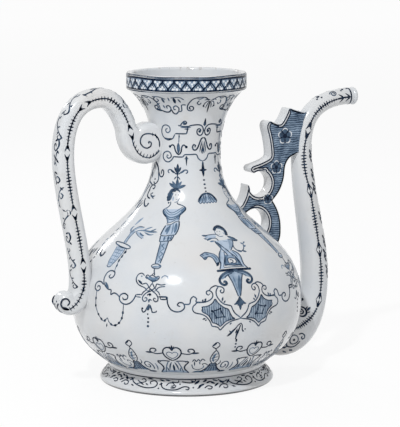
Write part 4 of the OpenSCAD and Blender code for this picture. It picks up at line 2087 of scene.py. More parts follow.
PLUMES = """
4,2165 24,49; 1.9 .9 leaf
10,2154 25,20 20,14 23,0 6,-16 -14,-12; 1.15 .8
22,2162 40,26; 1.7 .8 leaf
6,2136 20,-26; 1.2 .8
"""
FIGURE = """
0,2140 0,100; 2.6 .95 leaf
2,2146 2,-36; 1.5 .8
1,2031 -26,20 -40,27; 2.5 .7 leaf
1,2033 -18,31 -22,32; 2.3 .6 leaf
3,2033 2,40 -1,45; 2.6 .72 leaf
5,2035 17,30 18,30; 2.3 .6 leaf
8,2031 31,18 38,15; 2.5 .72 leaf
-19,2034 42,-2; 1.6 .85 leaf
2,2020 -32,-2 -18,-28 -6,-31 3,-35; 3 .82
-19,2000 -15,-31 -1,-35; 2 .66 leaf
-60,1983; .9 .85
-63,1956; .95 .85
-57,1930; .9 .85
-47,1908; .8 .8
2,2022 20,-1 14,-15; 1.6 .78
36,2006 7,-30 -5,-32 -16,-24 -20,-6; .65 .62
3,1980; .4 .8
27,1980; .4 .8
8,1942 15,0; .45 .6
-15,1966 2,-42; 1.6 .14 leaf
-31,1920 3,-26 -17,-26 -25,-15; .9 .75
26,1916 7,-15 28,-9 32,-16 17,-18; 1 .8
-66,1846 22,-66 28,-66 | 102,1860 -30,-60 -2,-56; 0 .02
-56,1855 18,-23 34,-17 35,16 28,24 22,17; .8 .65
-69,1849 21,-32 39,-21 44,13 42,42; 1.1 .5
-76,1835 29,-42 43,-22 52,17 40,49; 1.4 .6
-58,1802 41,-46 46,2 41,40 27,34; 1.2 .7
93,1872 -3,-26 -16,-24; 3 .58 leaf
108,1860 -8,-23 -21,-21; 1.2 .88
-69,1851 -12,-17 12,-32 30,-28; 1.3 .88
-44,1779 18,-34 10,-34; .9 .78
74,1813 -4,-34 3,-35; .9 .82
-28,1765 20,-49; 1.9 .3 leaf
58,1798 2,-49; 2.2 .45 leaf
-24,1710 39,17 32,27 21,15; .8 .62
-20,1695 36,7 32,27 28,10; .9 .78
-25,1690 -13,-48 -8,-53 | 76,1730 9,-62 -10,-72; 0 .06
-25,1690 -13,-48 -8,-53; 1.2 .85
77,1737 9,-48 0,-51 -11,-43; 1.2 .88
13,1697 -8,-52 -1,-47; 2.4 .56 leaf
35,1713 7,-56 2,-52; 1.4 .5 leaf
58,1719 6,-51 2,-52; 2.6 .62 leaf
-3,1675 -11,-57; 1.6 .6 leaf
-45,1584 40,-3 40,8 40,6; 1 .82
-43,1579 7,-61 | 68,1590 -12,-58; 0 .1
-43,1579 5,-42 2,-19; 1.1 .85
68,1590 -7,-37 -5,-21; 1.1 .88
-36,1518 45,9 47,7; 1.1 .85
-4,1576 0,-47; 1.8 .6 leaf
29,1581 -1,-45; 2.2 .7 leaf
51,1584 -4,-42; 1.4 .7 leaf
-24,1517 4,-108 5,-108 | 39,1526 -4,-114 -10,-108; 0 .16
-24,1517 4,-108 5,-108; 1.1 .8
39,1526 -4,-114 -10,-108; 1.1 .84
11,1503 -14,-26 23,-25 -21,-32 23,-24 -20,-31 17,-23 -16,-25; .9 .62
-12,1500 3,-90 3,-90; 1.3 .4 leaf
-41,1276 17,18 34,2 29,-17 -16,-22 -37,-2; 1 .82 loop
-34,1270 66,2; 2 .35 leaf
16,1290 20,-16; 1.4 .72 leaf
0,842; .85 .95
0,810; .9 .95
0,776; 1.05 .95
"""
PEDESTAL = """
-507,1185 -9,15 -14,5 -14,-14 -6,-31 6,-30 18,-26 29,-17 12,-17 -14,-24 -7,-24; 1.05 .86
-538,1147 16,-23 13,-10 18,9 10,-11 15,-30 19,-24 17,-21 10,-28 -1,-24 -11,-7 -10,14 3,14 9,-7; 1.05 .86
-386,1123 -22,-8 -24,6 -4,-20 -9,-20 -14,-19 -19,-14 -13,-19 -8,-24 3,-22 12,-8 10,19 -8,13 -7,-8; 1.05 \
.86
-388,1104 -30,-9 -13,-24 12,-17 8,-24; 1 .84
-485,1070 12,20 6,7 10,26 14,-29 12,-23; .95 .84
-470,1054 -16,17; .9 .8
-444,1059 13,13; .9 .8
-473,1058 13,18 16,-20; .9 .82
-535,1142 24,-26; 2 .8 leaf
-522,1179; .7 .6
-537,1023 31,7; 1.1 .9
-533,1008 26,-2; 1 .85
-538,1024 5,-17; 1.2 .9
-410,1017 33,1; 1.2 .92
-408,998 30,0; 1.2 .9
-410,1018 3,-21; 1 .88
-378,1020 0,-23; 1.6 .92
-477,1025 15,14 7,-12; 1.1 .88
-462,1045 0,-27; 1.9 .92 leaf
-469,981 8,13 10,-9; 1.1 .86
-464,998 -1,-30; 1.9 .92 leaf
-462,955 -10,-26 -9,-32 -11,-8 -6,18 2,13; 1.15 .9
-496,918; .85 .95
-464,944 -2,-40; 2.1 .95 leaf
-465,933 -7,-30; 1.2 .85 leaf
-459,952 9,-31 5,-29 18,4 2,11; 1.1 .88
-461,950 8,-35; 1.2 .8 leaf
-449,899 6,-9; 1.6 .88 leaf
-468,883 0,-17; 1.5 .95 leaf
-499,1173 8,21 14,-10 9,10 12,-5 14,-9 14,8 4,-15 -10,-20 -20,-13 -16,11 -14,12; 1 .8 loop
-494,1172 23,-10 21,0 22,13; 3 .5 leaf
-497,1171 11,-2; 2.6 .86 leaf
-470,1151 17,-4 15,11; 1.8 .72 leaf
-483,1178 23,-5; 1.4 .6 leaf
-460,1249 3,-24 6,-32; 1.1 .88
-458,1213 -11,-22; .9 .8
-457,1123 1,18; .9 .8
-411,1170 3,14 13,11 15,-9 4,-21; .9 .45
"""
CHAIN = """
-535,1023 -10,-38 -15,-30 -25,-17 -25,8 -16,29 4,33 22,16 20,-16 -2,-26 -18,-8 -8,16; 1.25 .85
-625,988 -20,22 -20,6 -17,-16 -4,36 -19,3 -20,16 -23,33 -8,42 10,48 24,18 26,-10 3,-32 -17,-22 -16,14 \
10,16; 1.25 .85
-738,1094 34,-50; 2.2 .7 leaf
-746,1068 -19,18 -25,0 -16,-26 4,-35 22,-15 16,18 -6,22 -16,-2 2,-14; 1.25 .85
-699,760 -7,-34; 1.3 .9 leaf
-696,1410 -10,-110 4,-105; .7 .7
-420,1018 42,1 4,-24 4,-35 15,-40 25,-18 26,8 14,28 -6,32 -19,6 -9,-20 14,-12; 1.25 .85
-292,963 26,3 6,38 14,20 14,-18 -2,-24 28,-4; 1.2 .85
-695,1380; 1.2,1.2 .85
-701,1336; .9,1.8 .85
-706,1294; .9,1.8 .85
-703,1246; .8,1.8 .85
"""
GARLAND = "-786,1010 4,-70 6,-65 24,-65 30,-36 20,22 8,9 8,-31 26,-24 30,20 22,45 8,60 1,63"
VASE = """
-800,1424 13,-74 4,-77 9,-36 | -713,1418 -1,-53 -12,-69 -22,-64; 0 .04
-796,1420 12,-120 12,-60 | -770,1420 2,-120 0,-60; 0 .18
-843,1464 41,4 58,-6 54,-18 12,-18 -22,-10 -60,10 -62,18; 1.15 .78 loop
-830,1450 70,-26 74,-6; 1.5 .7 leaf
-800,1424 13,-74 4,-77 9,-36; .7 .6
-713,1418 -1,-53 -12,-69 -22,-64; .75 .65
-794,1394 78,-6; .6 .5
-790,1364 74,-8; .6 .5
-787,1332 67,-8; .6 .5
-785,1298 59,-8; .6 .5
-782,1266 46,-6; .6 .5
-756,1410 4,-160; .5 .45
-732,1410 -8,-150; .5 .45
-780,1234 18,-12 18,12; 1 .65
-751,1470 -5,48 4,44 12,42; 2.6 .22
-763,1470 -5,50 4,46 12,44; .7 .65
-740,1470 -4,46 4,42 10,38; .7 .65
-771,1556 12,47 38,39 56,1; 2.2 .22 leaf
-739,1587 38,25 55,7 59,-9 66,2; 1.5 .5 leaf
-716,1600 56,-31 45,-28; 2.2 .22 leaf
-660,1616 36,28 38,20; 1.5 .5 leaf
-636,1602 56,-20 34,7; 1.4 .6 leaf
-680,1596 30,-22 30,-8; 1.5 .7 leaf
-600,1614 36,18 21,18; 1.3 .6 leaf
-776,1586 -20,34 10,30; 1.8 .55 leaf
-776,1570 16,48 42,36 54,-2; .75 .75
-720,1592 44,-32 52,-26; .7 .72
-660,1626 60,-6 70,0; .7 .72
-790,1660 20,50 24,36; 2.4 .3 leaf
"""
VINE = """
-903,2238 69,-27 39,-40 47,-40 45,-7 27,16 0,26 -25,17 -24,-14 6,-20; 2.2,2,1.5,1.2,1.2,1.1,1.1,1,.9 .95
-948,2224 40,-44; 2.2 .92 leaf
-988,2190 -16,-53 -39,-46 32,-24 73,-11 57,-13; 1.5 .88
-970,2150 16,-50; 1.6 .85 leaf
-795,2160 13,-25 15,-36 -27,-31 -41,-8 -35,16; 1.2 .88
-852,2106 0,-18; 2 .95 leaf
-881,2043 56,5 23,-15 -21,-19 -26,7; 1.3 .92
-881,2043 -29,-24 -1,-28 -4,-23 14,-22 53,-15 33,-1; 1.5 .92
-910,2014 -2,-36; 2.2 .95 leaf
-849,1971 51,-22 62,9; 1.5 .85 leaf
-835,1969 37,13; 1.4 .85 leaf
-795,1947 49,-17; 1.4 .85 leaf
-916,1922 20,-34 63,-35 30,8 4,19; 1.6 .92
-799,1878; .95 .95
-960,2040 -50,-50 -20,-60 20,-60 20,-60; 1.4 .82
-1030,2060 -40,-60 -10,-60; 1.5 .8 leaf
-1010,1910 -50,-40 -10,-50; 1.5 .8 leaf
-960,1900 -20,-60 4,-60; 1.6 .85 leaf
-920,1880 -30,-60; 1.5 .82 leaf
-986,1780 -10,-80; 1.3 .72 leaf
-974,1680 1,-70; 1.2 .72 leaf
-973,1600 -9,-44; 1.3 .78 leaf
-970,1536 -8,-50; 1.3 .78 leaf
-984,1474 -6,-34; 1.6 .72 leaf
-980,1430 10,-50; 1.5 .78 leaf
-927,1366 11,-42 28,-22 15,16 0,18; 1.9 .95
-873,1338; 1.1 .95
-968,1364 14,-72; 2.2 .92 leaf
-1008,1354 -3,-64; 2.2 .9 leaf
-1081,1320 44,-60; 2.8 .85 leaf
-1046,1340 6,-50; 2 .8 leaf
-950,1280 -6,-26; 1.8 .92 leaf
-960,1244 -2,-32; 1.8 .92 leaf
-964,1200 4,-36; 1.6 .88 leaf
"""


@dataclass
class ShoulderOrnament:
    """Plumed figures of a general kind on pedestals, with scrolls, garlands, vases and vines."""

    LEAVES = (0.09, 0.19, 0.30, 0.37, 0.44, 0.60, 0.67, 0.74, 0.82, 0.90)
    palette: Palette
    axis_at: float = -42.5
    axis_top: float = 220.0
    axis_lean: float = 4.2 / 142

    def build(self) -> None:
        """Paint both flanks of front and back, and vases and vines on the front alone."""
        work = Brushwork("shoulder_brushwork", BODY, LEAN)
        for side in (1, -1):
            work.sketch(PLUMES, partial(self.on_axis, work, side))
        work.sketch(FIGURE, partial(self.on_axis, work, 1))
        work.sketch(PEDESTAL)
        work.sketch(CHAIN)
        self.garland(work)
        work.sketch(VASE, copies=LEAN[:2])
        work.sketch(VINE, copies=LEAN[:2])
        work.finish(self.palette.brush)

    def on_axis(self, work: Brushwork, side: int, path: Path) -> list[Pair]:
        """Lay a path beside the leaning axis of a figure.

        Args:
            work: Brushwork of the shoulder.
            side: 1, or -1 for the mirror image.
            path: Millimetres from the axis, and lengths up the outline.

        Returns:
            Degrees, and lengths up the outline.
        """
        axis = [(self.axis_at - self.axis_lean * (self.axis_top - v), v) for _, v in path]
        return [work.shift(at, side * x, 0.0) for at, (x, _) in zip(axis, path)]

    def garland(self, work: Brushwork) -> None:
        """Hanging garland with its leaves.

        Args:
            work: Brushwork of the shoulder.
        """
        work.stroke(places(GARLAND), 0.8, 0.8)
        fine = work.smooth(places(GARLAND), False)
        for share in self.LEAVES:
            k = round(share * (len(fine) - 1))
            work.stroke(fine[max(k - 2, 0):k + 3], 2.0, 0.95, Brush.LEAF)


PENDANT = """
0,2244 0,-112; 2.6 .95 leaf
-68,2186 136,0; 2.2 .95 leaf
0,2186; 1.7 .95
0,2103; 1,.75 .9
0,2067; 1.05,.75 .9
0,2035; .95,.75 .9
0,2007; .85,.75 .9
"""
CANOPY = """
-126,1916 26,34 50,30 50,8 | -120,1910 40,-2 40,0 40,0; 0 .14
-128,1914 18,32 50,33 60,11; 1.7 .88
-126,1914 22,-12 20,14 21,-14 21,14 21,-14 21,14; .9 .75
-84,1912 18,32 26,30; .9 .8
-42,1912 8,34 16,34; .9 .8
-104,1916 22,38; 1.5 .55 leaf
-62,1914 16,46; 1.5 .5 leaf
-20,1914 8,52; 1.4 .5 leaf
"""
CHILD_HEAD = """
-47,1632 19,28 35,13 30,-24 13,-35 -5,-41; 2.5 .9
-14,1652 30,-2 16,-24; 1.4 .62 leaf
-45,1630 -1,-30 12,-22 22,-12 24,4; .65 .62
-26,1618; .38 .8
-2,1619; .38 .8
-22,1591 14,-1; .45 .6
26,1610 4,-28; 1.3 .2 leaf
-155,1582 53,10 54,1 20,-17; .9 .78
-145,1533 37,19 44,0 15,-26; .9 .78
-150,1570 46,3 50,-1; 2.6 .12
-95,1560 -51,-24; 2.2 .58 leaf
-170,1588 40,-6; 1.9 .72 leaf
-126,1520 44,6; 1.8 .52 leaf
-166,1556 32,-10; 1.5 .6 leaf
46,1564 38,-15 45,-39; 1.1 .85
53,1554 38,-20 29,-22; 3 .62 leaf
42,1536 40,-23 42,-7; .9 .8
"""
CHILD_BODY = """
-72,1526 18,-38 8,-35 -14,-33 | 70,1530 -11,-45 -27,-48 -18,-23; 0 .04
28,1534 -2,-50 -20,-54 | 70,1530 -11,-45 -27,-48; 0 .26
-60,1420 -15,-39 -7,-48 0,-42 -10,-43 | -36,1409 -7,-48 -11,-47 -8,-34 -6,-30; 0 .03
-60,1420 -15,-39 -7,-48 0,-42 | -54,1416 -9,-36 -9,-50 -2,-36; 0 .25
0,1399 25,-38 15,-45 8,-57 | 25,1417 28,-27 12,-36 -1,-54 10,-60; 0 .05
38,1400 16,-48 2,-62 8,-40 | 25,1417 28,-27 12,-36 -1,-54 10,-60; 0 .28
-36,1380 -14,-51 -9,-55 | -22,1368 -9,-48 -1,-44; 0 .56
10,1368 15,-48 -3,-51 | 19,1360 19,-49 11,-51; 0 .58
-32,1298 -2,-24 | 22,1294 2,-28; 0 .52
-32,1376 5,-33 | 14,1368 3,-29; 0 .34
-74,1517 26,-69 20,-47 9,-36 | -59,1510 33,-59 24,-43 16,-47; 0 .12
-74,1526 20,-38 9,-35 -15,-33; .95 .75
71,1530 -12,-45 -29,-48 -16,-21; .95 .8
-59,1510 33,-59 24,-43 16,-47; 1 .8
-75,1517 27,-69 20,-47 9,-36; 1 .8
-60,1420 -15,-39 -7,-48 0,-42 -12,-45; 1.1 .82
-36,1409 -7,-48 -13,-47 -12,-48; .9 .72
25,1417 28,-27 12,-36 -2,-41 0,-40 16,-37; 1.15 .84
0,1399 25,-38 15,-45 8,-57; .95 .76
-39,1362 -11,-36 -7,-48; 1.5 .84 leaf
24,1350 14,-39 9,-48; 1.6 .86 leaf
-59,1280 25,4 29,-11 33,1 22,-12; 1.2 .86
-69,1260 50,0 77,-5; .9 .7
-27,1339 18,6 25,-11 5,-27 -11,-17 -22,-2 -18,15; .9 .82 loop
-18,1329 15,-6 3,-13 -9,-12 -9,6; 1 .92
18,1410 18,-33 6,-34; 1.3 .5 leaf
-14,1520 40,-12; .8 .4 leaf
-86,1312 -2,44 -16,31 -24,15 -32,11 -20,-13 -15,-15 | -104,1284 -9,42 -11,33 -24,11 -17,-23 -15,17 -15,21; \
0 .22
-86,1306 -2,50 -16,31 -24,15 -32,11 -20,-13 -19,-17; 1 .76
-104,1282 -9,44 -11,33 -24,11 -17,-25 -9,1 -11,25 -12,13; 1 .8
-108,1276 18,38; 2.4 .85 leaf
-176,1350 20,20; 1.9 .72 leaf
-128,1388 22,-24 10,-38; 1.7 .55 leaf
-164,1400 24,-12; 1.5 .6 leaf
-190,1394 20,-12; 1.4 .7 leaf
55,1477 -5,-31 13,-32 33,-15; 1 .8
46,1457 8,-31 16,-26 23,-8; .85 .72
96,1400 25,22 20,48; .95 .74
122,1484 17,-22; 1.7 .66 leaf
154,1452 -27,-17; 1.8 .66 leaf
128,1387 -30,15; 1.8 .7 leaf
166,1490 -26,-20; 1.6 .66 leaf
"""
BRACKET = """
-101,1232 101,4 111,-9; 2 .94
0,1224 0,-214; 15,12,8.8,6,3.6,1.8 .3
20,1184 -8,-74 -8,-90; 3.2 .62 leaf
-16,1176 6,-66 7,-60; 1.6 .5 leaf
0,1008 0,-57 -1,-53; .9,2.2,3.6,2.4,.4 .84
1,790 -13,-14 -14,-26 -16,-24 -10,-18 -17,-20; .8,.9,1,1.7,1.7,.5 .92
-34,732 -20,-12; 1.3 .9 leaf
-58,736 9,-20; 1.3 .88 leaf
-16,746 -10,-40; 1.2 .88 leaf
0,776 -6,-30 -9,-36 -4,-20 -3,-36; .8,1,1.8,1.4,.7 .94
2,790 7,-20 1,-34 6,-22; .8,.9,1,.7 .9
11,730 9,-14; 1.3 .9 leaf
26,736; .6 .9
-16,644; .8,1.9 .92
-16,612; .85 .92
-16,582; .8 .92
"""
SCROLLS = """
0,1222 -40,-5 -34,-23 -19,-36 3,-32 18,-17 14,13 -8,16 -10,-8; 2.1 .85
-10,1210 -40,-10 -34,-42; 3.6 .4 leaf
-15,1206 -31,-14 -18,-24; 1 .8
-44,1194 11,-38 8,-36 8,-50 6,-34 5,-28; 1.05 .86
0,1004 -7,-32 -12,-18 -14,-8; 1,2.4,2.6,.5 .82
-5,970 -8,-38; 1.9 .84 leaf
"""
STAR = """
-128,999 -11,-26 -15,-19 -20,-12 -20,-3 4,-10 -4,-13 5,-18 14,-13 14,-18 10,-28 8,-28 15,-8 14,-15 9,-11 \
12,15 14,20 17,10 16,6 14,4 -12,14 -8,22 -6,22 -7,22 -19,14 -19,24 -13,22
"""
CARTOUCHE = """
0,829 -25,-7 -26,-10 -25,-21 -17,-26 -12,-19 -11,22 -14,8 -16,8 -7,28 -10,28 -16,28 -20,15 -27,11 -12,23 \
2,27 10,16 8,14 16,2 25,3 24,15 14,26 -1,30 -12,18 -15,-3 -2,-20 10,-11 9,16; 1.1 .86
-156,1065 12,26 22,16 17,-7 18,-7 9,-18 -4,-23 -11,-6 -6,18 9,8; 1.1 .86
-105,1098 -13,-26 -2,-40 13,-42 20,-32 21,-12 17,-9 7,-28 13,-35 22,-30 7,-12; 1.1 .86
-191,983 4,18; 1.5 .9 leaf
-180,982 8,28; 1.8 .9 leaf
-198,976 29,7; 1.6 .88 leaf
-94,977 7,37; 1.7 .88 leaf
-86,964 10,19; 1.5 .85 leaf
-192,839 16,9; 1.6 .88 leaf
-180,829 9,8; 1.3 .85 leaf
-58,785 11,15; 1.3 .82 leaf
-142,903 20,8 17,9; 1 .92
-105,920 8,-31 12,-35; 1 .92
-85,854 -21,-2 -18,-5; 1 .92
-124,847 -8,31 -10,25; 1 .92
-146,906; .95 .95
-104,922; .8 .95
-83,852; .8 .95
-126,847; .8 .95
"""


@dataclass
class CentreOrnament:
    """Pendant and canopy, a winged child of a general kind on a bracket, and the cartouche under it."""

    palette: Palette

    def build(self) -> None:
        """Paint the middle of front and back."""
        work = Brushwork("centre_brushwork", BODY, HALVES)
        work.sketch(PENDANT, copies=TURNS)
        work.sketch(CANOPY)
        work.sketch(CHILD_HEAD, lambda path: [work.shift((0.0, v), x, 0.0) for x, v in path], TURNS)
        work.sketch(CHILD_BODY, copies=TURNS)
        work.sketch(BRACKET, copies=AXIS[::2])
        work.sketch(SCROLLS, copies=AXIS)
        work.sketch(STAR.strip() + "; 1 .88 loop", copies=AXIS)
        work.sketch(CARTOUCHE, copies=AXIS)
        work.finish(self.palette.brush)
        ground, star = Brushwork("panel_ground", BODY, AXIS), places(STAR)
        ground.wash(star[:15], [star[0], *star[:13:-1]], 0.3)
        ground.finish(self.palette.panel)


HEART = """
0,565 -9,25 -17,6 -16,-18 -5,-34 9,-39 19,-33 19,-18; 1.32 1
-2,574 2,46; 1.23 1 leaf
-2,586 -12,24; .88 .95 leaf
-45,540 -30,-10 -20,4 -19,20 8,26 20,0 4,-20 -12,-8; 1.19 .95
-140,542 42,-4; 1.76 .95 leaf
-68,432 -11,14 -5,-16 14,-35 8,-35 -4,-40 -14,-36 -8,-26; 1.5 .95
-75,443 30,6 29,-5; 1.32 .95
-26,440 -12,-50 -10,-60 -8,-60; 1.06 .7
-8,435 -12,-55 -8,-70; 1.32 .8 leaf
0,400 -1,-104; 1.76 .9 leaf
-88,260 48,12 40,2; .88 .7
-40,350 6,-65; 1.23 .75 leaf
-74,304 -8,-44 | 0,310 0,-44; 0 .22
0,536 -9,14 -14,-2 -7,-20 12,-30 18,-20; .7 .72
"""
APRON = """
-17,406 -9,-46 -14,-40 -22,-40 | 0,406 0,-46 0,-40 0,-40; 0 .48
-17,408 -9,-48 -14,-40 -28,-46; 1.35 .98
-19,408 19,0; 1.17 .98
-7,400 -13,-120; .72 .92
-15,386 -25,-102; .72 .92
0,400 0,-120; .63 .92
-22,374 22,-10; .63 .86
-30,344 30,-12; .63 .86
-44,312 44,-12; .63 .86
"""
PENNON = """
0,406 -22,48 4,56 20,50 18,-46 2,-58; .95 .94 loop
2,424 -10,46 12,64; 1.98 .52 leaf
-16,440 32,20; .68 .84
-18,474 36,20; .68 .84
-14,510 28,16; .68 .84
2,560 -6,26; 1.17 .98
-4,582 -16,24 22,32 15,-24 -11,-26; .95 .96 loop
-20,604 22,34; 1.6 1 leaf
22,370 18,44 -4,32; .95 .85 leaf
-26,380 -18,30 -16,-4 4,-18; .85 .88
"""
BETWEEN = """
-126,310 2,50 -12,50 -20,12 -16,-28 4,-48 18,-10 8,28 -8,22; 1.23 .82
-174,266 54,4; 2.6 .9 leaf
-106,410 6,-60 -8,-60; .97 .7 leaf
106,440 10,28 12,-26 10,26 12,-24 10,28 16,-22; 1.06 .92
118,444 2,-64; 1.14 .85 leaf
146,440 4,-40; 1.06 .8 leaf
110,270 40,10 40,-16; 3.2 .75 leaf
104,400 10,-60 28,-26 28,26 4,40; .97 .8
"""


@dataclass
class BowlFrieze:
    """Hearts, curls and hatched aprons with pennons round the lower bowl."""

    palette: Palette
    first: float = -35.5
    repeats: int = 8

    def build(self) -> None:
        """Paint all repeats."""
        work = Brushwork("bowl_brushwork", BODY)
        step = 360 / self.repeats
        for turn in range(self.repeats):
            middle = self.first + step * turn
            half = middle + step / 2
            work.sketch(HEART, copies=[(1, middle), (-1, middle)])
            work.sketch(APRON, copies=[(1, half), (-1, half)])
            work.sketch(PENNON, copies=[(1, half)])
            work.sketch(BETWEEN, copies=[(1, middle)])
        work.finish(self.palette.brush)


FOOT_SCROLL = """
20,124 30,-38 60,-26 60,-8 50,14 14,34 -24,24 -30,-14 10,-22; 1.15 .98
260,114 14,-44 36,-20 60,2 50,28 34,-6 -4,-20 -18,2; 1.15 .98
300,84 16,26 30,2 8,-22 -20,-8; 1 .98
384,142 -6,-24 -42,6; 1 .98
76,110 34,-16 34,16 -20,22 -20,-12; 1 .98
406,128 54,-12 36,12 10,16; 1.05 .98
494,102 40,36; 2 .98 leaf
520,82 44,22; 1.8 .98 leaf
510,60 34,30; 1.4 .98 leaf
554,122 34,18; 1.8 .98 leaf
560,64 26,20 28,-12 -14,-18 -20,4; 1.1 .98
604,126 36,-26; 1.9 .98 leaf
626,138 40,-14; 1.5 .98 leaf
630,76 36,28; 1.6 .98 leaf
660,60 26,28 34,-4 4,-26 -24,-6 -6,16; 1.1 .98
668,136 36,-24 36,12; 1.1 .98
150,138 46,-2; 1.3 .98 leaf
242,138 42,-10; 1.4 .98 leaf
36,64 28,-12; 1.4 .98 leaf
6,94 34,36; 1.6 .98 leaf
80,76 28,12 28,-12; 1.1 .98
248,90 26,16; 1.5 .98 leaf
330,66 38,6; 1.5 .98 leaf
468,138 32,-18; 1.5 .98 leaf
576,110 34,16; 1.5 .98 leaf
674,118 34,-20; 1.4 .98 leaf
146,94 24,-18; 1.3 .98 leaf
286,140 38,-8; 1.3 .98 leaf
364,86; .7 .98
394,104; .7 .98
250,56; .7 .98
484,72; .7 .98
"""


@dataclass
class FootFrieze:
    """Running scroll on the face of the foot."""

    palette: Palette
    repeats: int = 5

    def build(self) -> None:
        """Paint all repeats, and the line under the groove, laid dark and wide so that it also paints the
        shade in the groove.
        """
        step = 360 / self.repeats
        work = Brushwork("foot_brushwork", BODY, [(1, k * step) for k in range(self.repeats)])
        work.sketch(FOOT_SCROLL)
        # Blue line at the groove, partly real and partly painted shade: made darker and wider to stand for
        # the shade in the groove.
        work.ring(15.2, 1.2, 1.0)
        work.finish(self.palette.brush)


@dataclass
class Fishbone:
    """Centre line with ticks, parted by pairs of arrowheads.

    Attributes:
        work: Brushwork to paint on.
        spot: Place at a length along the line and a distance across it.
    """

    work: Brushwork
    spot: Callable[[float, float], Pair]

    def ribs(self, start: float, end: float, full: float, gap: float = 2.7) -> None:
        """Line with ticks that are longest in its middle.

        Args:
            start: Length at which it starts.
            end: Length at which it ends.
            full: Longest tick, in millimetres.
            gap: Distance between ticks.
        """
        count = max(2, round((end - start) / 3.0))
        self.work.stroke([self.spot(mix(start, end, i / count), 0.0) for i in range(count + 1)], 1.25, 1.0)
        ticks = max(3, round((end - start) / gap))
        for i in range(ticks):
            t = (i + 0.5) / ticks
            u = mix(start, end, t)
            half = full / 2 * mix(0.5, 1.0, math.sin(math.pi * t) ** 1.5) * (1.0, 0.74, 0.9)[i % 3]
            lean = 0.25 * math.sin(7.3 * i)
            width = mix(0.95, 1.5, math.sin(math.pi * t) ** 3)
            self.work.stroke([self.spot(u - lean, -half), self.spot(u + lean, half)], width, 1.0)

    def arrows(self, at: float, size: float = 1.0, gap: float = 1.2) -> None:
        """Two full arrowheads that point away from each other, round a bare lozenge.

        Args:
            at: Length of their middle.
            size: Their size, where 1 is 12 mm from tip to tip.
            gap: Half the gap between their barbs.
        """
        for way in (-1, 1):
            tip = at + way * 6.0 * size
            for side in (-1, 1):
                barb = [
                    self.spot(tip, 0.0), self.spot(at + way * (gap + 2.2) * size, side * 1.3 * size),
                    self.spot(at + way * gap * size, side * 2.5 * size),
                ]
                self.work.stroke(barb, 2.3 * size, 1.0, Brush.TAIL)
            heart = [self.spot(tip + way * 1.6, 0.0), self.spot(at + way * (gap + 2.0) * size, 0.0)]
            self.work.stroke(heart, 2.2 * size, 1.0, Brush.LEAF)

    def open_arrows(self, at: float) -> None:
        """Two thin arrowheads whose barbs meet round the stem.

        Args:
            at: Length of their middle.
        """
        for way in (-1, 1):
            tip = self.spot(at + way * 6.6, 0.0)
            for side in (-1, 1):
                barb = [tip, self.spot(at + way * 3.2, side * 1.3), self.spot(at - way * 0.2, side * 3.1)]
                self.work.stroke(barb, 1.7, 1.0, Brush.TAIL)
            self.work.stroke([tip, self.spot(at + way * 0.4, 0.0)], 1.3, 1.0)


SPRIGS = """
-70,-44 40,-2 36,32 34,40 22,16 14,-14 -12,-20 -16,10; 1 .9
-56,-38 -20,30; 1.3 .9 leaf
0,-18 -8,38; 1.3 .9 leaf
24,8 24,-18; 1.4 .92 leaf

-76,-46 20,22 32,30 44,24 50,4; 1 .9
-80,-24 24,-16; 1.4 .92 leaf
-20,8 28,-24 -24,-20 -20,14; 1 .88
60,46 18,-26; 1.4 .92 leaf
16,28 14,22; 1.2 .88 leaf

-44,-28 34,-6 30,10 16,26 -14,26 -26,-4 -6,-22 18,-8; 1.2 .92
-42,-26 14,42; 1.6 .95 leaf
30,-18 24,-16; 1.5 .95 leaf

-80,34 40,-4 36,-28 34,-32 30,-6 16,22 -16,20 -14,-14; 1.05 .9
-46,30 -18,-34 -16,8; 1 .88
-10,8 24,28; 1.5 .92 leaf
20,-20 -16,-20; 1.3 .9 leaf
56,12 22,22; 1.4 .9 leaf

-50,-22 50,24 46,26; 1.15 .92
-10,-2 38,-30; 1.5 .95 leaf
4,4 -32,30; 1.5 .95 leaf
20,12 28,-22; 1.3 .92 leaf
""".split("\n\n")
SCROLL_EDGE = "-554,2100 18,-70 36,-66 54,-40 62,-12 54,24 34,30"
SCROLL_ROOT = "-1002,876 -12,-46 -24,-50 -36,-42 -50,-32"
SCROLL_CURLS = """
-296,1994 -2,46 -26,46 -52,22 -56,1 -34,-27 -6,-42 24,-34 38,-14 32,16 4,28 -22,12; 1.3 .92
-396,2050 2,-24; 1.8 .92 leaf
-336,2108 16,-42; 1.3 .92 leaf
-362,2118 4,-30; 1.2 .92 leaf
-1128,704 -48,10 -28,38 16,40 40,2 22,-30 -20,-26; 1.5 .95
-1130,702 -66,26; 2.4 .95 leaf
"""
CURL_RIM = """
1860,-50 200,30 200,-2 140,-22; 2 .95
1900,14 160,16 160,-14; 1.6 .92
1720,-20 120,14; 1.8 .92 leaf
2280,0 120,-10; 1.5 .92 leaf
"""


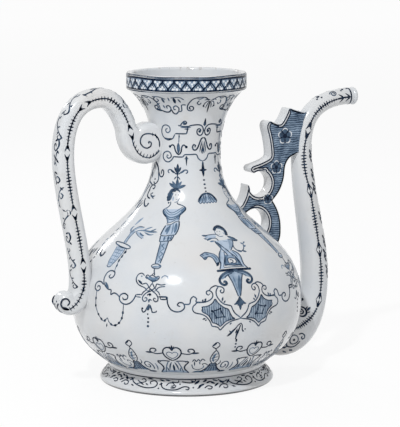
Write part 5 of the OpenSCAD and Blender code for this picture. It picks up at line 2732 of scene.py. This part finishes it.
@dataclass
class HandleBrushwork:
    """Fishbone on both sides of the handle, curls on its scrolls, sprigs on its outer face.

    A sprig's place is noted as a length along the strap, its kind, and 1 or -1 for the way it grows.
    """

    PLACES = (
        (10, 4, 1), (24, 0, 1), (44, 1, -1), (62, 3, 1), (80, 0, -1), (93, 2, 1), (103, 4, 1), (118, 2, -1),
        (134, 1, 1), (152, 0, 1), (168, 2, 1), (186, 3, 1), (204, 0, -1),
    )
    palette: Palette
    handle: ScrollHandle

    def build(self) -> None:
        """Paint both sides and the outer face."""
        h = self.handle
        path = PathChart((h.arch, h.bend, h.grip), (lambda t: h.width / 2,) * 3)
        for side, name in ((-1, "handle_front_brushwork"), (1, "handle_back_brushwork")):
            work = Brushwork(name, FaceChart(h.thick / 2, side))
            self.side(work, path)
            work.finish(self.palette.brush)
        outer = Brushwork("handle_outer_brushwork", BackChart(path, h))
        for u, kind, flip in self.PLACES:
            outer.sketch(SPRIGS[kind], partial(self.grow, u, flip))
        outer.finish(self.palette.brush)
        end = Brushwork("handle_curl_brushwork", CurlChart(h.lower, h.width))
        end.sketch(CURL_RIM)
        end.finish(self.palette.brush)

    @staticmethod
    def grow(u: float, flip: int, path: Path) -> list[Pair]:
        """Lay a path of a sprig along the strap, at a length and turned one way or the other."""
        return [(u + 1.1 * x, flip * y - 3.2) for x, y in path]

    @staticmethod
    def side(work: Brushwork, path: PathChart) -> None:
        """One side of the strap with both curls.

        Args:
            work: Brushwork of the side.
            path: The strap's centre line.
        """
        bone = Fishbone(work, path.flat)
        for start, end in ((5, 49), (62, 92), (104.5, 141), (154.5, 186.5), (199.5, 215)):
            bone.ribs(start, end, 5.0)
        for at in (-2.5, 55.7, 98.3, 148, 193):
            bone.arrows(at, 0.95)
        low = places(SCROLL_EDGE)
        work.stroke(low, 1.05, 0.92)
        for p, q in zip(low[1:], low[2:]):
            for t in (0.0, 0.5):
                x, z = part_way(p, q, t)
                work.stroke([(x - 0.5, z - 0.9), (x + 0.9, z + 2.4)], 1.0, 0.92)
        work.sketch(SCROLL_CURLS)
        root = work.smooth(places(SCROLL_ROOT), False)
        work.stroke(root[::3] + root[-1:], 1.1, 0.95)
        for (x0, z0), (x, z), (x1, z1) in list(zip(root, root[1:], root[2:]))[2::4]:
            long = math.dist((x0, z0), (x1, z1)) / 2.0
            dx, dz = (z1 - z0) / long, (x0 - x1) / long
            work.stroke([(x - dx, z - dz), (x + dx, z + dz)], 1.0, 0.95)


SPOUT_ROOT = """
413,-380 40,13; 1.3 .95 leaf
404,-323 52,63; 2.2 1 leaf
390,-260 22,54; 1.3 .95 leaf
505,-690; 1.8 1
126,127; .95 .9
162,127 -10,-87 -26,-40 -26,34 -8,93 12,87 24,26 26,-34; .95 .85 loop
104,-30 -25,102 -8,115 11,98 30,39 30,-14 32,-90; 1.15 .88
173,18 32,21 15,103 -11,72 -15,-20 -3,-62 11,-12; 1.15 .88
84,310 -28,70; 2.1 .9 leaf
130,488 -22,-85; 2 .85 leaf
100,540 -26,-80; 1.7 .8 leaf
"""
SPOUT_SPRIG = """
20,-40 40,-120; 2.3 1 leaf
-24,-80 -36,120; 2.1 1 leaf
30,140 50,100 20,-80; 1.2 .95
"""


@dataclass
class SpoutBrushwork:
    """Fishbone on both sides of the spout, sprigs along its outer side, dabs and a ring at its lip."""

    DABS = (
        (231, -76, 1.3), (232.6, -54, 0.8), (229, -62, 0.8), (253, -68, 1.1), (251, -56, 0.8),
        (257.6, -74, 1.0),
    )
    palette: Palette
    spout: SwanSpout

    def build(self) -> None:
        """Paint the whole spout."""
        s = self.spout
        sizes = [lambda t, size=size: Vector(size(t)) for size in (s.root_size, s.rise_size, s.curl_size)]
        work = Brushwork("spout_brushwork", TubeChart(PathChart((s.root, s.rise, s.curl), sizes)))
        for middle, sign in ((0.0, 1), (180.0, -1)):
            self.side(work, middle, sign)
        work.stroke([(259.4, a * 12.0) for a in range(31)], [1.3, 1.3], 0.95)
        work.finish(self.palette.brush)

    def side(self, work: Brushwork, middle: float, sign: int) -> None:
        """One side of the spout.

        Args:
            work: Brushwork of the spout.
            middle: Degrees of the side's middle line.
            sign: 1 on the front and -1 on the back.
        """
        def spot(u: float, x: float) -> Pair:
            """Place at a length and a distance from the painted line, which sways on its way.

            Args:
                u: Length along the spout.
                x: Millimetres from the line.

            Returns:
                Length and degrees.
            """
            sway = -17.0 * math.sin(math.pi * (u - 151) / 52) if 151 < u < 203 else 0.0
            sway -= 16.0 * ease(min(max((50 - u) / 26, 0.0), 1.0))
            return work.shift((u, middle + sign * sway), 0.0, sign * x)

        def at(u: float, v: float) -> Pair:
            """Place at a length and an angle."""
            return (u, middle + sign * v)

        bone = Fishbone(work, spot)
        for start, end in ((13, 47), (61, 92), (105, 144.5), (157.5, 196), (211, 245)):
            bone.ribs(start, end, 5.4, 2.5)
        for u in (54, 98.5, 151):
            bone.open_arrows(u)
        bone.arrows(203.6, 1.12, 0.3)
        work.stroke([spot(245, 0), spot(252, 0), spot(258.6, 0)], 1.6, 1.0)
        for u in (247, 253.6):
            for way in (-1, 1):
                work.stroke([spot(u + 4.4, 0), spot(u, way * 3.7)], 1.9, 1.0, Brush.TAIL)
        work.stroke(work.spiral(at(243, -45), 3.1, 0.5, 1.8, 180, sign), 1.0, 0.9)
        for u, v, r in self.DABS:
            work.dot(at(u, v), r, 0.95)
        for r, width in ((0.9, 1.5), (3.1, 1.5), (5.9, 1.7)):
            work.stroke(work.spiral(at(36.5, -52), r, r, 1.0, 0)[:-1], width, 1.0, closed=True)
        work.sketch(SPOUT_ROOT, lambda path: [at(*p) for p in path])
        for u, v in ((181, 36), (164, 38), (152, 35), (125, 46), (104, 44), (92, 36), (78, 44)):
            work.stroke(work.spiral(at(u, v), 2.6, 0.7, 1.3, 200, sign), 1.4, 0.95)
            work.sketch(SPOUT_SPRIG, lambda path, u=u, v=v: [at(u + x, v + y) for x, y in path])


@dataclass
class BridgeBrushwork:
    """Hatched blue field, double outline and rosettes on both faces of the bridge.

    A rosette is noted as its middle and its size.
    """

    ROSETTES = (((92, 201.7), 1.38), ((83.7, 175.4), 1.15), ((75.4, 148.6), 0.95))
    palette: Palette
    bridge: PiercedBridge
    rim: float = 0.95
    margin: float = 3.0
    near_spout: float = 1.0
    double_z: float = 150.0

    def build(self) -> None:
        """Paint both faces."""
        edge = self.even(self.bridge.face, 0.7)
        hidden = [self.bridge.buried(p) for p in edge]
        first = next(i for i in range(len(edge)) if hidden[i - 1] and not hidden[i])
        edge, hidden = edge[first:] + edge[:first], hidden[first:] + hidden[:first]
        rim, border = self.inset(edge, hidden, self.rim), self.inset(edge, hidden, self.margin)
        for side, word in ((-1, "front"), (1, "back")):
            chart = FaceChart(self.bridge.thick / 2, side)
            ground = Brushwork(f"bridge_{word}_ground", chart)
            ground.slab([p for p, _ in border], ground.lift(0.0), 0.4)
            ground.finish(self.palette.hatch)
            lines = Brushwork(f"bridge_{word}_brushwork", chart)
            for loop, width in ((rim, 1.25), (border, 1.2)):
                for buried, run in groupby(loop, key=lambda spot: spot[1]):
                    path = [p for p, _ in run][::2]
                    if not buried and len(path) > 2:
                        lines.stroke(path, width, 1.0)
            lines.sketch("574,1568 -6,22 -5,22; 1.1,1.5,1 1")
            dabs = Brushwork(f"bridge_{word}_white_dabs", chart)
            for at, size in self.ROSETTES:
                self.rosette(lines, dabs, at, size)
            lines.finish(self.palette.brush)
            dabs.finish(self.palette.dab, Finish.GLAZE)

    @staticmethod
    def even(loop: Path, gap: float) -> list[Pair]:
        """Same outline with even points, turning anticlockwise.

        Args:
            loop: Outline in either sense.
            gap: Distance between its points.

        Returns:
            The points in order.
        """
        area = sum(p[0] * q[1] - q[0] * p[1] for p, q in zip(loop, [*loop[1:], loop[0]]))
        loop = list(loop) if area > 0 else list(reversed(loop))
        made: list[Pair] = []
        for p, q in zip(loop, [*loop[1:], loop[0]]):
            steps = max(1, round(math.dist(p, q) / gap))
            made += [part_way(p, q, k / steps) for k in range(steps)]
        return made

    def inset(self, loop: list[Pair], hidden: list[bool], depth: float) -> list[tuple[Pair, bool]]:
        """Outline a depth inside another.

        Args:
            loop: Anticlockwise outline with even points.
            hidden: For each point, whether it lies inside the pot or the spout.
            depth: Distance in millimetres from open edges that face the pot.

        Returns:
            Points that keep the distance from every edge, each with its mark.
        """
        n = len(loop)
        made = []
        for i, p in enumerate(loop):
            a, b = loop[i - 2], loop[(i + 2) % n]
            long = math.dist(a, b) or 1.0
            facing = min(max((b[1] - a[1]) / long * 2.0 + 0.2, 0.0), 1.0)
            if p[0] < self.bridge.cut_mid[0] and p[1] > self.double_z:
                facing = 0.0
            d = -0.8 if hidden[i] else mix(depth, self.near_spout, facing)
            q = (p[0] - (b[1] - a[1]) / long * d, p[1] + (b[0] - a[0]) / long * d)
            if min(math.dist(q, r) for r in loop) > d * 0.9:
                made.append((q, hidden[i]))
        return self.untangled(made)

    @staticmethod
    def untangled(spots: list[tuple[Pair, bool]]) -> list[tuple[Pair, bool]]:
        """Same outline without its small loops.

        Args:
            spots: Points with their marks.

        Returns:
            The points that are left.
        """
        made, i = [], 0
        while i < len(spots):
            made.append(spots[i])
            ends = [p for p, _ in spots[i:i + 42]]
            skip = [
                k for k in range(2, len(ends) - 1)
                if intersect_line_line_2d(ends[0], ends[1], ends[k], ends[k + 1])
            ]
            i += max(skip, default=0) + 1
        return made

    @staticmethod
    def rosette(lines: Brushwork, dabs: Brushwork, at: Pair, size: float) -> None:
        """Rosette with a dark heart and round petals, and with white crescents round it.

        Args:
            lines: Brushwork of the blue strokes.
            dabs: Brushwork of the white ones.
            at: Middle of the rosette.
            size: Its size, where 1 is about 10 mm across.
        """
        lines.dot(at, 1.5 * size, 1.0)
        for turn in range(90, 450, 72):
            lines.dot(polar(at, 2.7 * size, turn), 1.5 * size, 0.76)
            leaf = [polar(at, r * size, turn + 36) for r in (1.4, 4.6)]
            lines.stroke(leaf, 1.1 * size, 1.0, Brush.LEAF)
            petal = polar(at, 2.9 * size, turn)
            crescent = [polar(petal, 1.9 * size, turn + d) for d in range(-75, 90, 30)]
            dabs.stroke(crescent, 0.75 * size, -1.0, Brush.LEAF)


@dataclass(frozen=True)
class Studio:
    """Camera, floor and soft lights."""

    azimuth: float = -28.0
    distance: float = 1.771
    height: float = 0.41094
    pitch: float = 8.678
    yaw: float = 0.367
    lens: float = 179.72

    def build(self) -> None:
        """Set the stage."""
        self.camera()
        self.floor()
        self.world()
        self.lights()

    def across(self, x: float, y: float) -> Pair:
        """Turn a place seen from the camera, right and away, into the pot's frame."""
        a = math.radians(self.azimuth)
        return (x * math.cos(a) - y * math.sin(a), x * math.sin(a) + y * math.cos(a))

    def camera(self) -> None:
        """Place the camera at the photograph's viewing angle."""
        data = bpy.data.cameras.new("studio_camera")
        data.lens = self.lens
        data.sensor_width = 36.0
        data.clip_end = 20.0
        eye = bpy.data.objects.new("studio_camera", data)
        bpy.context.scene.collection.objects.link(eye)
        x, y = self.across(0.0, -self.distance)
        eye.location = (x, y, self.height)
        level = math.cos(math.radians(self.pitch))
        turn = math.radians(self.yaw)
        fx, fy = self.across(math.sin(turn) * level, math.cos(turn) * level)
        ahead = Vector((fx, fy, -math.sin(math.radians(self.pitch))))
        eye.rotation_euler = ahead.to_track_quat("-Z", "Y").to_euler()
        bpy.context.scene.camera = eye

    @staticmethod
    def seen(board: NodeBoard) -> Socket:
        """Mask of camera, glossy and transmission rays.

        Args:
            board: Board of a material or the world.

        Returns:
            1 for those rays and 0 for others.
        """
        path = board.add("ShaderNodeLightPath").outputs
        both = board.math("MAXIMUM", path["Is Camera Ray"], path["Is Glossy Ray"])
        return board.math("MAXIMUM", both, path["Is Transmission Ray"])

    def floor(self) -> None:
        """Lay a plain pale floor that takes the pot's shadow."""
        Bench.clear()
        bpy.ops.mesh.primitive_plane_add(size=14.0, location=(0, 0, -0.0002))
        floor = bpy.context.object
        floor.name = "studio_floor"
        material = bpy.data.materials.new("studio_floor")
        material.use_nodes = True
        board = NodeBoard(material.node_tree)
        out = board.add("ShaderNodeOutputMaterial")
        lit = board.add("ShaderNodeBsdfDiffuse", {"Color": (0.82, 0.82, 0.82, 1.0)})
        glow = board.add("ShaderNodeEmission", {"Strength": 1.02})
        share = board.add("ShaderNodeMixShader")
        far = board.add("ShaderNodeVectorMath", operation="LENGTH")
        board.link(board.add("ShaderNodeTexCoord").outputs["Object"], far.inputs[0])
        fade = board.remap(far.outputs["Value"], 0.5, 5.0, 0.87, 0.93)
        seen = board.math("MULTIPLY", self.seen(board), fade)
        for value, into in zip((seen, lit.outputs[0], glow.outputs[0]), share.inputs):
            board.link(value, into)
        board.link(share.outputs[0], out.inputs["Surface"])
        floor.data.materials.append(material)

    def world(self) -> None:
        """White to the eye, a dim even fill to the pot."""
        world = bpy.data.worlds.new("studio_world")
        bpy.context.scene.world = world
        world.use_nodes = True
        board = NodeBoard(world.node_tree)
        out = board.add("ShaderNodeOutputWorld")
        ground = board.add("ShaderNodeBackground")
        board.link(board.remap(self.seen(board), 0.0, 1.0, 0.56, 0.98), ground.inputs["Strength"])
        board.link(ground.outputs[0], out.inputs["Surface"])

    def lights(self) -> None:
        """Hang the soft boxes."""
        for name, place, size, power in (
            ("key_box", (-0.306, -1.07, 1.27), (0.10, 0.10), 13.5),
            ("rear_box", (-0.87, 1.10, 0.70), (0.11, 0.20), 0.62),
            ("front_fill", (0.2, -2.0, 0.6), (1.0, 0.6), 2.0),
            ("back_fill", (-0.3, 1.2, 1.3), (0.8, 0.8), 6.0),
        ):
            data = bpy.data.lights.new(name, "AREA")
            data.shape = "ELLIPSE"
            data.size, data.size_y = size
            data.energy = power
            lamp = bpy.data.objects.new(name, data)
            lamp.visible_glossy = not name.endswith("fill")
            bpy.context.scene.collection.objects.link(lamp)
            x, y = self.across(place[0], place[1])
            lamp.location = (x, y, place[2])
            aim = Vector((0.0, 0.0, 0.12)) - lamp.location
            lamp.rotation_euler = aim.to_track_quat("-Z", "Y").to_euler()


def main() -> None:
    """Build the pot piece by piece."""
    logging.basicConfig(level=logging.INFO, format="%(name)s: %(message)s")
    bpy.context.scene.view_settings.view_transform = "Standard"
    Studio().build()
    palette = Palette()
    ThrownBody(POT, palette).build()
    handle = ScrollHandle(palette)
    handle.build()
    spout = SwanSpout(palette)
    spout.build()
    bridge = PiercedBridge(palette, spout)
    bridge.build()
    for ornament in (CollarLattice, NeckOrnament, ShoulderOrnament, CentreOrnament, BowlFrieze, FootFrieze):
        ornament(palette).build()
    HandleBrushwork(palette, handle).build()
    SpoutBrushwork(palette, spout).build()
    BridgeBrushwork(palette, bridge).build()
    Bench.clear()


if __name__ == "__main__":
    main()
